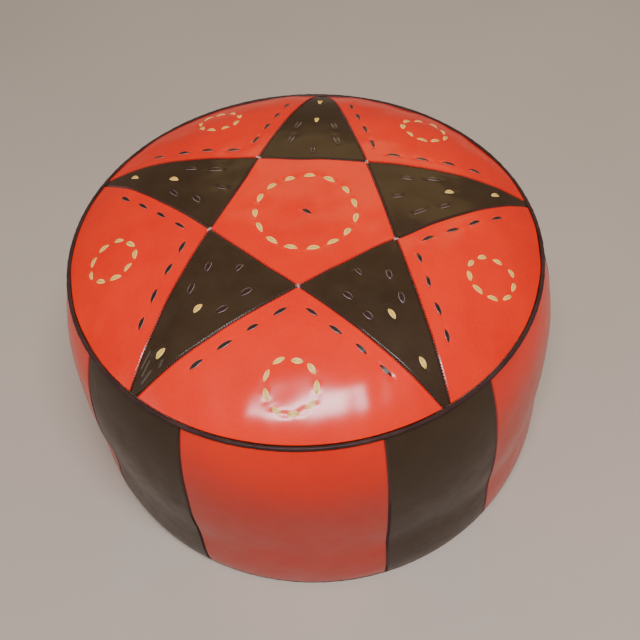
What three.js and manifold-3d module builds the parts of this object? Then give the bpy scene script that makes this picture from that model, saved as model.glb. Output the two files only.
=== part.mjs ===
// A round leather pouf: a patchwork casing of dark and red goatskin, laced with leather thongs,
// stuffed through a zip in its base. Millimetres, +Z up, origin on the floor under the centre.

import * as THREE from 'three';
import { mergeVertices } from 'three/addons/utils/BufferGeometryUtils.js';
import Module from 'manifold-3d';

const wasm = await Module();
wasm.setup();

// ---- Overall sizes -------------------------------------------------------------------------------
const rimRadius = 250;
const rimHeight = 268;
const domeRise = 51;
const domeFullness = 3.58;
const bellyBulge = 22;
const bellyHeight = 94;
const shoulderFullness = 3.2;
const footTuck = 2.5;
const footFullness = 8;

// ---- Leather and trim ----------------------------------------------------------------------------
const topLeather = 1.6;
const sideLeather = 1.8;
const baseLeather = 2;
const seamGap = 0.5;
const touchGap = 0.35;
const topPipingRadius = 2.8;
const bottomPipingRadius = 2.4;
const floorClearance = 0.3;

// ---- Star pattern --------------------------------------------------------------------------------
const starPoints = 5;
const pentagonRadius = 99;
const starTipWidth = 7;
const darkSideAngle = 28.5;

// ---- Thongs --------------------------------------------------------------------------------------
const thongThickness = 0.8;
const ringThongWidth = 5;
const plainThongWidth = 4;
const overGap = 0.4;
const underGap = 1.3;
const rampRun = 1.2;
const slitSlack = 0.7;
const slitSpike = 60;
const tailLength = 6;

const centreRingRadius = 52;
const centreRingStitches = 15;
const centreRingStitch = 12.5;
const panelRingRadius = 23.7;
const panelRingInset = 50;
const panelRingStitches = 9;
const panelRingStitch = 10;
const vStitches = 4;
const vStitch = 10;
const vEdgeOffset = 15;
const vStart = 29;
const vEnd = 61;
const starStitch = 10;
const tieStitch = 11;
// Where the stitches of a star point lie: share of the way from the pentagon's edge to the tip,
// and share of the half width there.
const goldAlong = [0.44, 0.75];
const darkAlong = [0.374, 0.205, 0.1];
const darkAcross = 0.53;

// ---- Lining and stuffing -------------------------------------------------------------------------
const liningThickness = 0.8;
const liningGap = 0.7;
const liningSideGap = 2.4;
const stuffingGap = 0.5;
const liningSlitWidth = 8;

// ---- Zip in the base -----------------------------------------------------------------------------
const windowLength = 346;
const tapeOverlap = 5;
const windowWidth = 14;
const hemWidth = 12;
const tapeWidth = 15;
const tapeThickness = 0.6;
const teethWidth = 2.4;
const teethThickness = 1.8;
const chainGap = 1.2;
const stopLength = 4;
const sliderLength = 18;
const sliderWidth = 10;
const sliderPlate = 0.8;
const sliderWeb = 0.5;
const sliderWebLength = 8;
const sliderPlay = 0.4;
const bridgeLength = 7.6;
const bridgeWidth = 2;
const bridgeBar = 0.6;
const pullBar = 1;
const pullPlay = 0.35;
const pullWidth = 7;
const pullLength = 24;
const pullEyeLength = 4.6;

// ---- Facets --------------------------------------------------------------------------------------
const pipingSides = 5;
const pipingSteps = 45;
const bagSteps = 25;
const baseSteps = 16;
const sideRows = 8;
const darkSideColumns = 4;
const redSideColumns = 4;
const starColumns = 2;
// The longest facets that stay close enough to the dome for the thongs: out from the centre, round
// the rim, and in the flatter middle.
const outwardFacet = 38;
const roundFacet = 46;
const middleFacet = 100;

const colours = {
  redLeather: 0xc8401c,
  darkLeather: 0x33261d,
  darkPiping: 0x2c1e17,
  goldThong: 0xd9bd85,
  brownThong: 0x5b3a30,
  lining: 0xcfc3a8,
  stuffing: 0xe6e0d2,
  zipTape: 0x241c18,
  zipMetal: 0xa07c45,
};

// ---- Solids --------------------------------------------------------------------------------------

function signedVolume(geometry) {
  const corners = geometry.toNonIndexed().getAttribute('position');
  const a = new THREE.Vector3();
  const b = new THREE.Vector3();
  const c = new THREE.Vector3();
  let sum = 0;
  for (let i = 0; i < corners.count; i += 3) {
    a.fromBufferAttribute(corners, i);
    b.fromBufferAttribute(corners, i + 1);
    c.fromBufferAttribute(corners, i + 2);
    sum += a.dot(b.cross(c)) / 6;
  }
  return sum;
}

// Shared vertices become one, flat slivers go, and the faces are turned to point outwards.
function closed(geometry) {
  geometry.deleteAttribute('normal');
  geometry.deleteAttribute('uv');
  const merged = mergeVertices(geometry, 1e-3);
  const index = merged.getIndex().array;
  const kept = [];
  for (let i = 0; i < index.length; i += 3) {
    const [a, b, c] = index.slice(i, i + 3);
    if (a !== b && b !== c && c !== a) {
      kept.push(a, b, c);
    }
  }
  merged.setIndex(kept);
  if (signedVolume(merged) < 0) {
    merged.setIndex(kept.reverse());
  }
  return merged;
}

function solidOf(geometry) {
  const { array } = geometry.getAttribute('position');
  const triVerts = Uint32Array.from(geometry.getIndex().array);
  const mesh = new wasm.Mesh({ numProp: 3, vertProperties: Float32Array.from(array), triVerts });
  return new wasm.Manifold(mesh);
}

function geometryOf(solid) {
  const { vertProperties, triVerts } = solid.getMesh();
  const geometry = new THREE.BufferGeometry();
  geometry.setAttribute('position', new THREE.BufferAttribute(vertProperties, 3));
  geometry.setIndex(new THREE.BufferAttribute(triVerts, 1));
  return geometry;
}

function cut(body, tools) {
  let solid = solidOf(body);
  for (const tool of tools) {
    solid = solid.subtract(solidOf(tool));
  }
  return geometryOf(solid);
}

function joined(pieces) {
  let solid = solidOf(pieces[0]);
  for (const piece of pieces.slice(1)) {
    solid = solid.add(solidOf(piece));
  }
  return geometryOf(solid);
}

// A block between two opposite corners.
function block(low, high) {
  const size = high.map((value, axis) => value - low[axis]);
  const box = new THREE.BoxGeometry(...size);
  box.translate(...low.map((value, axis) => value + size[axis] / 2));
  return closed(box);
}

// A profile of [radius, height] points turned about the vertical axis.
function turned(profile, steps) {
  const points = profile.map(([radius, height]) => new THREE.Vector2(radius, height));
  const lathe = new THREE.LatheGeometry(points, steps);
  lathe.rotateX(Math.PI / 2);
  return closed(lathe);
}

function ring(centreRadius, height, tubeRadius) {
  const profile = [];
  for (let i = 0; i <= pipingSides; i += 1) {
    const turn = (2 * Math.PI * (i % pipingSides)) / pipingSides;
    profile.push([centreRadius + tubeRadius * Math.cos(turn), height + tubeRadius * Math.sin(turn)]);
  }
  return turned(profile, pipingSteps);
}

// A sheet of even thickness. Its outline lies on a flat grid, and lift carries each flat point
// onto the outer face and gives the outward normal there. A round sheet's last column is its first.
function sheet(columns, rows, place, lift, thickness, round = false) {
  const faces = [];
  for (const depth of [0, thickness]) {
    const layer = [];
    for (let row = 0; row <= rows; row += 1) {
      const line = [];
      for (let column = 0; column <= columns; column += 1) {
        const { point, normal } = lift(...place(column / columns, row / rows));
        line.push(point.clone().addScaledVector(normal, -depth));
      }
      layer.push(line);
    }
    faces.push(layer);
  }
  const [outer, inner] = faces;
  const corners = [];
  const quad = (a, b, c, d) => corners.push(a, b, c, a, c, d);
  for (let row = 0; row < rows; row += 1) {
    for (let column = 0; column < columns; column += 1) {
      quad(outer[row][column], outer[row][column + 1],
        outer[row + 1][column + 1], outer[row + 1][column]);
      quad(inner[row][column], inner[row + 1][column],
        inner[row + 1][column + 1], inner[row][column + 1]);
    }
  }
  for (let column = 0; column < columns; column += 1) {
    quad(outer[0][column + 1], outer[0][column], inner[0][column], inner[0][column + 1]);
    quad(outer[rows][column], outer[rows][column + 1], inner[rows][column + 1], inner[rows][column]);
  }
  for (let row = 0; row < rows && !round; row += 1) {
    quad(outer[row][0], outer[row + 1][0], inner[row + 1][0], inner[row][0]);
    quad(outer[row + 1][columns], outer[row][columns], inner[row][columns], inner[row + 1][columns]);
  }
  return closed(new THREE.BufferGeometry().setFromPoints(corners));
}

// ---- The casing's surface ------------------------------------------------------------------------

const radians = (degrees) => (degrees * Math.PI) / 180;
const polar = (radius, angle) => new THREE.Vector2(radius, 0).rotateAround(new THREE.Vector2(), angle);

function onDome(x, y) {
  const share = Math.hypot(x, y) / rimRadius;
  const slope = (domeRise * domeFullness * share ** (domeFullness - 2)) / rimRadius ** 2;
  return {
    point: new THREE.Vector3(x, y, rimHeight + domeRise * (1 - share ** domeFullness)),
    normal: new THREE.Vector3(x * slope, y * slope, 1).normalize(),
  };
}

const footHeight = floorClearance + 2 * bottomPipingRadius + touchGap;

// The side swells to the belly, then draws in to the rim above it and tucks in to the foot below.
function sideRadius(height) {
  const belly = rimRadius + bellyBulge;
  if (height > bellyHeight) {
    const share = (height - bellyHeight) / (rimHeight - bellyHeight);
    return belly - bellyBulge * share ** shoulderFullness;
  }
  return belly - footTuck * ((bellyHeight - height) / (bellyHeight - footHeight)) ** footFullness;
}

function onSide(angle, height) {
  const step = 0.5;
  const slope = (sideRadius(height + step) - sideRadius(height - step)) / (2 * step);
  const radius = sideRadius(height);
  return {
    point: new THREE.Vector3(radius * Math.cos(angle), radius * Math.sin(angle), height),
    normal: new THREE.Vector3(Math.cos(angle), Math.sin(angle), -slope).normalize(),
  };
}

// ---- Outline of the star, in plan ----------------------------------------------------------------

const pointAngle = (i) => radians(90 - (360 / starPoints) * i);
const halfStep = Math.PI / starPoints;
const topEdgeRadius = rimRadius - topPipingRadius - touchGap;
const pentagonApothem = pentagonRadius * Math.cos(halfStep);
const pentagonHalfSide = pentagonRadius * Math.sin(halfStep);
const starReach = rimRadius - pentagonApothem;
const edgeLean = Math.atan2(pentagonHalfSide - starTipWidth / 2, starReach);

// Half the width of a star point at a distance out from the centre, along its own axis.
function halfWidthAt(along) {
  const share = (along - pentagonApothem) / starReach;
  return pentagonHalfSide + (starTipWidth / 2 - pentagonHalfSide) * share;
}

// How far along the axis a line near the star's edge meets the circle where the top ends.
function alongAtRim(across) {
  return Math.sqrt(topEdgeRadius ** 2 - across ** 2);
}

function pentagonPlace(u, v) {
  const corner = 2 * starPoints * u * halfStep;
  const fromMiddle = ((corner + halfStep) % (2 * halfStep)) - halfStep;
  const reach = (pentagonApothem - seamGap / 2) / Math.cos(fromMiddle);
  return polar(v * reach, pointAngle(0) + corner).toArray();
}

function starPlace(index, u, v) {
  const start = pentagonApothem + seamGap / 2;
  const across = 2 * u - 1;
  const end = alongAtRim(across * (starTipWidth / 2));
  const along = start + (end - start) * v;
  const half = halfWidthAt(along) - seamGap / 2 / Math.cos(edgeLean);
  return new THREE.Vector2(along, across * half)
    .rotateAround(new THREE.Vector2(), pointAngle(index)).toArray();
}

// A red panel fans out from a corner of the pentagon to the rim between two star points.
const edgeStart = new THREE.Vector2(pentagonApothem, -pentagonHalfSide)
  .rotateAround(new THREE.Vector2(), halfStep);
const edgeEnd = new THREE.Vector2(rimRadius, -starTipWidth / 2)
  .rotateAround(new THREE.Vector2(), halfStep);
const edgeDirection = edgeEnd.clone().sub(edgeStart).normalize();
const panelApex = edgeStart.x + seamGap / 2 / Math.abs(edgeDirection.y) * edgeDirection.length();

function edgeHalfAngle() {
  const reach = -edgeStart.dot(edgeDirection)
    + Math.sqrt(edgeStart.dot(edgeDirection) ** 2 + topEdgeRadius ** 2 - edgeStart.lengthSq());
  const meet = edgeStart.clone().addScaledVector(edgeDirection, reach);
  return Math.abs(meet.angle() > Math.PI ? meet.angle() - 2 * Math.PI : meet.angle())
    - seamGap / 2 / topEdgeRadius / Math.cos(edgeLean);
}

const outerHalfAngle = edgeHalfAngle();

function outerPlace(index, u, v) {
  const rimPoint = polar(topEdgeRadius, outerHalfAngle * (2 * u - 1));
  return new THREE.Vector2(panelApex, 0).lerp(rimPoint, v)
    .rotateAround(new THREE.Vector2(), pointAngle(index) - halfStep).toArray();
}

// ---- Thongs --------------------------------------------------------------------------------------

// A stitch is the stretch of thong seen on top: its middle and direction in plan, and its length.
function stitch(x, y, angle, length) {
  return { middle: new THREE.Vector2(x, y), angle, length };
}

function turnStitch(item, angle) {
  return {
    ...item,
    middle: item.middle.clone().rotateAround(new THREE.Vector2(), angle),
    angle: item.angle + angle,
  };
}

// The point at a distance along a stitch, with its own three directions.
function stitchFrame(item, distance) {
  const plan = item.middle.clone().add(polar(distance, item.angle));
  const { point, normal } = onDome(plan.x, plan.y);
  const forward = new THREE.Vector3(Math.cos(item.angle), Math.sin(item.angle), 0);
  const side = new THREE.Vector3().crossVectors(normal, forward).normalize();
  forward.crossVectors(side, normal);
  return { point, normal, side, forward };
}

const overHeight = overGap + thongThickness / 2;
const underHeight = -(topLeather + underGap + thongThickness / 2);

function stitchStations(item) {
  const half = item.length / 2;
  const levels = [
    [-half - rampRun / 2, underHeight],
    [-half + rampRun / 2, overHeight],
    [half - rampRun / 2, overHeight],
    [half + rampRun / 2, underHeight],
  ];
  return levels.map(([distance, height]) => {
    const { point, normal, side } = stitchFrame(item, distance);
    return { centre: point.addScaledVector(normal, height), side };
  });
}

// One thong runs over the leather at each stitch and under it from one stitch to the next.
// A looped thong closes on itself; an open one ends in a short tail under the leather.
function thong(stitches, width, looped) {
  const stations = stitches.flatMap(stitchStations);
  if (!looped) {
    const first = stitchFrame(stitches[0], -stitches[0].length / 2 - tailLength);
    const last = stitches[stitches.length - 1];
    const end = stitchFrame(last, last.length / 2 + tailLength);
    stations.unshift({ centre: first.point.addScaledVector(first.normal, underHeight), side: first.side });
    stations.push({ centre: end.point.addScaledVector(end.normal, underHeight), side: end.side });
  }
  const count = stations.length;
  const sections = stations.map(({ centre, side }, i) => {
    const before = looped ? stations[(i + count - 1) % count] : stations[Math.max(i - 1, 0)];
    const after = looped ? stations[(i + 1) % count] : stations[Math.min(i + 1, count - 1)];
    const incoming = centre.clone().sub(before.centre).normalize();
    const outgoing = after.centre.clone().sub(centre).normalize();
    const along = incoming.clone().add(outgoing).normalize();
    const up = new THREE.Vector3().crossVectors(along, side).normalize();
    const halfUp = thongThickness / 2 / Math.max(along.dot(outgoing), along.dot(incoming));
    const corner = (across, rise) => centre.clone()
      .addScaledVector(side, (across * width) / 2).addScaledVector(up, rise * halfUp);
    return [corner(-1, -1), corner(1, -1), corner(1, 1), corner(-1, 1)];
  });
  const corners = [];
  const quad = (a, b, c, d) => corners.push(a, b, c, a, c, d);
  const links = looped ? count : count - 1;
  for (let i = 0; i < links; i += 1) {
    const near = sections[i];
    const far = sections[(i + 1) % count];
    for (let side = 0; side < 4; side += 1) {
      const next = (side + 1) % 4;
      quad(near[side], near[next], far[next], far[side]);
    }
  }
  if (!looped) {
    const [near, far] = [sections[0], sections[count - 1]];
    quad(near[3], near[2], near[1], near[0]);
    quad(far[0], far[1], far[2], far[3]);
  }
  return closed(new THREE.BufferGeometry().setFromPoints(corners));
}

// The two slits that each stitch passes through. Each is cut by a long four-sided spike, point
// downwards, whose sides are all but upright where they cross the leather.
function slits(stitches, width) {
  const tools = [];
  for (const item of stitches) {
    for (const end of [-1, 1]) {
      const { point, normal, side, forward } = stitchFrame(item, (end * item.length) / 2);
      const spike = new THREE.ConeGeometry(Math.SQRT1_2, slitSpike, 4, 1, false, Math.PI / 4);
      spike.rotateX(-Math.PI / 2);
      spike.translate(0, 0, topLeather - slitSpike / 2);
      spike.scale(rampRun + thongThickness + slitSlack, width + slitSlack, 1);
      spike.applyMatrix4(new THREE.Matrix4().makeBasis(forward, side, normal));
      spike.translate(point.x, point.y, point.z);
      tools.push(closed(spike));
    }
  }
  return tools;
}

function ringStitches(centre, radius, count, length) {
  const items = [];
  for (let i = 0; i < count; i += 1) {
    const angle = Math.PI / 2 + (2 * Math.PI * i) / count;
    const at = centre.clone().add(polar(radius, angle));
    items.push(stitch(at.x, at.y, angle + Math.PI / 2, length));
  }
  return items;
}

const origin = new THREE.Vector2();
const centreRing = ringStitches(origin, centreRingRadius, centreRingStitches, centreRingStitch);
const centreTie = [stitch(0, 0, 0, tieStitch)];

function panelRing(index) {
  const centre = polar(rimRadius - panelRingInset, pointAngle(0) - halfStep);
  const items = ringStitches(centre, panelRingRadius, panelRingStitches, panelRingStitch);
  return items.map((item) => turnStitch(item, pointAngle(index) - pointAngle(0)));
}

// The V follows both star edges of a red panel, down one side to the corner and up the other.
function vRow(index) {
  const pitch = (edgeEnd.distanceTo(edgeStart) - vStart - vEnd) / (vStitches - 1);
  const inward = new THREE.Vector2(-edgeDirection.y, edgeDirection.x).multiplyScalar(-vEdgeOffset);
  const sign = edgeDirection.y < 0 ? -1 : 1;
  const up = [];
  for (let i = 0; i < vStitches; i += 1) {
    const at = edgeStart.clone().addScaledVector(edgeDirection, vStart + pitch * i)
      .addScaledVector(inward, sign);
    up.push(stitch(at.x, at.y, edgeDirection.angle(), vStitch));
  }
  const down = up.map((item) => stitch(item.middle.x, -item.middle.y, Math.PI - item.angle, vStitch));
  return [...down.reverse(), ...up].map((item) => turnStitch(item, pointAngle(index) - halfStep));
}

function goldRow(index) {
  return goldAlong.map((share) => turnStitch(
    stitch(pentagonApothem + share * starReach, 0, 0, starStitch),
    pointAngle(index),
  ));
}

// Five stitches round the wide end of a star point: two along each edge and one on the axis.
function darkRow(index) {
  const side = darkAlong.slice(0, 2).map((share) => {
    const along = pentagonApothem + share * starReach;
    return stitch(along, halfWidthAt(along) * darkAcross, Math.PI - edgeLean, starStitch);
  });
  const middle = stitch(pentagonApothem + darkAlong[2] * starReach, 0, 0, starStitch);
  const other = side.map((item) => stitch(item.middle.x, -item.middle.y, Math.PI - item.angle, starStitch));
  return [...side, middle, ...other.reverse()].map((item) => turnStitch(item, pointAngle(index)));
}

// ---- Assembly ------------------------------------------------------------------------------------

const pouf = new THREE.Group();

function add(name, geometry, color, roughness, metalness = 0) {
  const material = new THREE.MeshStandardMaterial({ color, roughness, metalness });
  const mesh = new THREE.Mesh(geometry, material);
  mesh.name = name;
  pouf.add(mesh);
}

const leatherRoughness = 0.42;
const thongRoughness = 0.55;

// Top: pentagon, star points and the red panels between them.
const pentagonRows = Math.ceil(pentagonRadius / middleFacet);
const starRows = Math.ceil((topEdgeRadius - pentagonApothem) / outwardFacet);
const outerRows = Math.ceil((topEdgeRadius - pentagonRadius) / outwardFacet);
const outerColumns = Math.ceil((2 * outerHalfAngle * topEdgeRadius) / roundFacet);
const pentagonSheet = sheet(2 * starPoints, pentagonRows, pentagonPlace, onDome, topLeather, true);
const pentagonSlits = [...slits(centreRing, ringThongWidth), ...slits(centreTie, plainThongWidth)];
add('centre_pentagon', cut(pentagonSheet, pentagonSlits), colours.redLeather, leatherRoughness);
add('centre_ring_lace', thong(centreRing, ringThongWidth, true), colours.goldThong, thongRoughness);
add('centre_tie', thong(centreTie, plainThongWidth, false), colours.brownThong, thongRoughness);

for (let i = 0; i < starPoints; i += 1) {
  const name = i + 1;
  const point = sheet(starColumns, starRows, (u, v) => starPlace(i, u, v), onDome, topLeather);
  const pointSlits = [...slits(goldRow(i), plainThongWidth), ...slits(darkRow(i), plainThongWidth)];
  add(`star_point_${name}`, cut(point, pointSlits), colours.darkLeather, leatherRoughness);
  const gold = thong(goldRow(i), plainThongWidth, false);
  const brown = thong(darkRow(i), plainThongWidth, false);
  add(`star_lace_gold_${name}`, gold, colours.goldThong, thongRoughness);
  add(`star_lace_dark_${name}`, brown, colours.brownThong, thongRoughness);

  const panel = sheet(outerColumns, outerRows, (u, v) => outerPlace(i, u, v), onDome, topLeather);
  const panelSlits = [...slits(panelRing(i), ringThongWidth), ...slits(vRow(i), plainThongWidth)];
  add(`outer_panel_${name}`, cut(panel, panelSlits), colours.redLeather, leatherRoughness);
  add(`ring_lace_${name}`, thong(panelRing(i), ringThongWidth, true), colours.goldThong, thongRoughness);
  add(`v_lace_${name}`, thong(vRow(i), plainThongWidth, false), colours.brownThong, thongRoughness);
}

// Sides: a dark panel under each star tip and a red one between, with piping above and below.
const redSideAngle = 360 / starPoints - darkSideAngle;
const sideTop = rimHeight - topPipingRadius - touchGap;

function sidePanel(middle, angle, columns) {
  const seamAngle = seamGap / 2 / rimRadius;
  const half = radians(angle) / 2 - seamAngle;
  // The rows crowd together at the foot and the shoulder, where the side curves most.
  const heightAt = (v) => footHeight + ((sideTop - footHeight) * (1 - Math.cos(Math.PI * v))) / 2;
  const place = (u, v) => [middle + half * (2 * u - 1), heightAt(v)];
  return sheet(columns, sideRows, place, onSide, sideLeather);
}

for (let i = 0; i < starPoints; i += 1) {
  const dark = sidePanel(pointAngle(i), darkSideAngle, darkSideColumns);
  const red = sidePanel(pointAngle(i) - halfStep, redSideAngle, redSideColumns);
  add(`side_panel_dark_${i + 1}`, dark, colours.darkLeather, leatherRoughness);
  add(`side_panel_red_${i + 1}`, red, colours.redLeather, leatherRoughness);
}

const footRadius = sideRadius(footHeight);
const bottomPipingHeight = floorClearance + bottomPipingRadius;
add('top_piping', ring(rimRadius, rimHeight, topPipingRadius), colours.darkPiping, leatherRoughness);
add(
  'bottom_piping',
  ring(footRadius - bottomPipingRadius, bottomPipingHeight, bottomPipingRadius),
  colours.darkPiping,
  leatherRoughness,
);

// Base: two half discs hemmed along a window that the zip closes.
const baseRadius = footRadius - 2 * bottomPipingRadius - touchGap;
const windowHalf = windowWidth / 2;
const windowEnd = windowLength / 2;
const zipHalf = windowEnd + tapeOverlap;
const hemTop = 2 * baseLeather;

function basePanel(side) {
  const outline = new THREE.Shape();
  const edge = seamGap / 2;
  const startAngle = Math.asin(edge / baseRadius);
  outline.moveTo(windowEnd, windowHalf);
  outline.lineTo(windowEnd, edge);
  outline.absarc(0, 0, baseRadius, startAngle, Math.PI - startAngle, false);
  outline.lineTo(-windowEnd, edge);
  outline.lineTo(-windowEnd, windowHalf);
  outline.closePath();
  const options = { depth: baseLeather, bevelEnabled: false, curveSegments: baseSteps };
  const disc = closed(new THREE.ExtrudeGeometry(outline, options));
  const hem = block([-windowEnd, windowHalf, baseLeather / 2], [windowEnd, windowHalf + hemWidth, hemTop]);
  const half = joined([disc, hem]);
  half.rotateZ(side > 0 ? 0 : Math.PI);
  return half;
}

add('base_panel_back', basePanel(1), colours.darkLeather, leatherRoughness);
add('base_panel_front', basePanel(-1), colours.darkLeather, leatherRoughness);

const tapeLow = hemTop + touchGap;
const tapeHigh = tapeLow + tapeThickness;
const chainMiddle = (tapeLow + tapeHigh) / 2;
const teethLow = chainMiddle - teethThickness / 2;
const teethHigh = chainMiddle + teethThickness / 2;
// The chain stops short of the window's ends, so that the pull can lie flat either way at each end.
const chainHalf = windowEnd - pullLength + sliderLength / 2;
const stopNear = chainHalf + touchGap;
const stopFar = stopNear + stopLength;
const teethOuter = chainGap / 2 + teethWidth;

for (const [name, side] of [['back', 1], ['front', -1]]) {
  const tape = block(
    [-zipHalf, teethOuter + touchGap, tapeLow],
    [zipHalf, teethOuter + touchGap + tapeWidth, tapeHigh],
  );
  const teeth = block([-chainHalf, chainGap / 2, teethLow], [chainHalf, teethOuter, teethHigh]);
  const turn = side > 0 ? 0 : Math.PI;
  add(`zip_tape_${name}`, tape.rotateZ(turn), colours.zipTape, 0.9);
  add(`zip_teeth_${name}`, teeth.rotateZ(turn), colours.zipMetal, 0.4, 1);
}
add(
  'zip_bottom_stop',
  block([-stopFar, -teethOuter, teethLow], [-stopNear, teethOuter, teethHigh]),
  colours.zipMetal,
  0.4,
  1,
);
add(
  'zip_top_stop',
  block([stopNear, -teethOuter, teethLow], [stopFar, teethOuter, teethHigh]),
  colours.zipMetal,
  0.4,
  1,
);

// The slider's two plates hold the teeth between them. A thin web joins them through the gap
// between the rows, and a bridge under the lower plate carries the pull.
const sliderAt = chainHalf - sliderLength / 2 - touchGap;
const lowerTop = teethLow - sliderPlay;
const lowerBottom = lowerTop - sliderPlate;
const upperBottom = teethHigh + sliderPlay;
const bridgeHigh = lowerBottom - pullBar - 2 * pullPlay;
const bridgeLow = bridgeHigh - bridgeBar;
const bridgeInner = bridgeLength / 2 - bridgeBar;

function sliderBlock(halfLength, halfWidth, low, high) {
  return block([sliderAt - halfLength, -halfWidth, low], [sliderAt + halfLength, halfWidth, high]);
}

const bridge = cut(
  sliderBlock(bridgeLength / 2, bridgeWidth / 2, bridgeLow, lowerBottom + sliderPlate / 2),
  [sliderBlock(bridgeInner, bridgeWidth, bridgeHigh, lowerBottom)],
);
const slider = joined([
  sliderBlock(sliderLength / 2, sliderWidth / 2, lowerBottom, lowerTop),
  sliderBlock(sliderLength / 2, sliderWidth / 2, upperBottom, upperBottom + sliderPlate),
  sliderBlock(sliderWebLength / 2, sliderWeb / 2, lowerTop - sliderPlate / 2, upperBottom + sliderPlate / 2),
  bridge,
]);
add('zip_slider', slider, colours.zipMetal, 0.35, 1);

// The pull is a flat tab with an eye. The eye's end bar turns inside the bridge.
const pullLow = bridgeHigh + pullPlay;
const eyeHalf = bridgeWidth / 2 + pullPlay;
const pullTab = block(
  [sliderAt - pullLength, -pullWidth / 2, pullLow],
  [sliderAt + pullBar / 2, pullWidth / 2, pullLow + pullBar],
);
const pullEye = block(
  [sliderAt - pullEyeLength, -eyeHalf, pullLow - pullBar],
  [sliderAt - pullBar / 2, eyeHalf, pullLow + 2 * pullBar],
);
add('zip_pull', cut(pullTab, [pullEye]), colours.zipMetal, 0.35, 1);

// Inside: a cotton bag with its own slit over the zip, and the stuffing that fills it.
const topRows = 5;
const wallRows = 5;

// The space inside the casing: a turned solid, an even distance inside the leather's outer face.
function inside(topDepth, sideDepth, floorHeight) {
  const profile = [[0, floorHeight]];
  const along = ({ point, normal }, depth) => {
    const at = point.addScaledVector(normal, -depth);
    return [at.x, at.z];
  };
  const shoulder = rimRadius - topPipingRadius - sideDepth;
  const shoulderHeight = rimHeight - 2 * topDepth;
  profile.push([sideRadius(footHeight) - sideDepth - footTuck, floorHeight]);
  for (let i = 1; i <= wallRows; i += 1) {
    const height = bellyHeight * 0.2 + (shoulderHeight - bellyHeight * 0.2) * ((i - 1) / (wallRows - 1));
    profile.push(along(onSide(0, height), sideDepth));
  }
  for (let i = 0; i <= topRows; i += 1) {
    profile.push(along(onDome(shoulder * (1 - i / topRows), 0), topDepth));
  }
  return turned(profile, bagSteps);
}

const liningTopDepth = -underHeight + thongThickness / 2 + liningGap;
const liningSideDepth = sideLeather + liningSideGap;
const liningFloor = upperBottom + sliderPlate + liningGap;
const liningInner = [liningTopDepth + liningThickness, liningSideDepth + liningThickness];
const liningFloorTop = liningFloor + liningThickness;
const slot = block(
  [-windowEnd, -liningSlitWidth / 2, liningFloor - liningThickness],
  [windowEnd, liningSlitWidth / 2, liningFloor + 2 * liningThickness],
);
const lining = cut(
  inside(liningTopDepth, liningSideDepth, liningFloor),
  [inside(...liningInner, liningFloorTop), slot],
);
add('lining_bag', lining, colours.lining, 0.95);
const stuffing = inside(
  liningInner[0] + stuffingGap,
  liningInner[1] + stuffingGap,
  liningFloorTop + stuffingGap,
);
add('stuffing', stuffing, colours.stuffing, 1);

export default pouf;
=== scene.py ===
# %% [markdown]
# # A Moroccan leather pouf
#
# The pouf is a round leather casing pushed out tight by its stuffing. Its top is a patchwork:
# a red pentagon, five dark star points and five red panels, with leather thongs laced through
# slits. This notebook builds the casing as one formula, lets a cloth simulation swell it, and
# then cuts every panel, thong and stitch from that one swollen surface, so that they all meet.

import math

import bmesh
import bpy
import numpy as np
from mathutils import Matrix, Vector


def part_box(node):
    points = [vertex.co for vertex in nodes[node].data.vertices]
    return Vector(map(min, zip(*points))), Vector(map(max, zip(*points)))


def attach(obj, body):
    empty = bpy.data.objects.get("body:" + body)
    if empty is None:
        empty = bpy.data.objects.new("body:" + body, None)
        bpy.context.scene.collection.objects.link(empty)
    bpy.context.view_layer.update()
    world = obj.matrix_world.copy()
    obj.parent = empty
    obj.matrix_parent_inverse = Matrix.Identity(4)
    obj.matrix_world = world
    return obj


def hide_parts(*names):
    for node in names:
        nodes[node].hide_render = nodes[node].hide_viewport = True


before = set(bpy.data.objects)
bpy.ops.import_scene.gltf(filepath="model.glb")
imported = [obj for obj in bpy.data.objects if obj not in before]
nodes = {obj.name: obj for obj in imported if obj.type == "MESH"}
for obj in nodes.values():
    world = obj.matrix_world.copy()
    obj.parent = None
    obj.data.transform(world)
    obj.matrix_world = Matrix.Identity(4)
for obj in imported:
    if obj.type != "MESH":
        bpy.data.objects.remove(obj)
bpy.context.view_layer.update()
body = "pouf"

# %% [markdown]
# ## Sizes
#
# The overall sizes are read from the frame: the rim from its piping, the dome from the middle
# panel, the belly from a side panel. What the frame doesn't state is a named value in metres.

# %% Sizes of the casing
MM = 0.001


def middle(node, axis):
    """The middle of a node's box along one axis."""
    low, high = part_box(node)
    return (low[axis] + high[axis]) / 2


top_piping_radius = 2.8 * MM
bottom_piping_radius = 2.4 * MM
rim_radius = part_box("top_piping")[1].x - top_piping_radius
rim_height = middle("top_piping", 2)
dome_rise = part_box("centre_pentagon")[1].z - rim_height
dome_fullness = 3.58
belly_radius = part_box("side_panel_dark_1")[1].y
belly_height = 94 * MM
shoulder_fullness = 3.2
foot_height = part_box("side_panel_dark_1")[0].z
foot_tuck = 2.5 * MM
foot_fullness = 8
print(f"rim {rim_radius:.3f} m at {rim_height:.3f} m")
print(f"dome {dome_rise:.3f} m, belly {belly_radius:.3f} m")

# %% Sizes of the pattern
star_points = 5
half_step = math.pi / star_points
pentagon_radius = 99 * MM
star_tip_width = 7 * MM
dark_side_angle = math.radians(28.5)
side_turn = math.radians(-1.4)
seam_gap = 0.5 * MM
touch_gap = 0.35 * MM
cord_share = 0.84
top_edge = rim_radius - cord_share * top_piping_radius - touch_gap / 2
side_top = rim_height - cord_share * top_piping_radius - touch_gap / 2
apothem = pentagon_radius * math.cos(half_step)
half_side = pentagon_radius * math.sin(half_step)
star_reach = rim_radius - apothem
edge_lean = math.atan2(half_side - star_tip_width / 2, star_reach)
print(f"star point {star_reach:.3f} m long")


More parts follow.
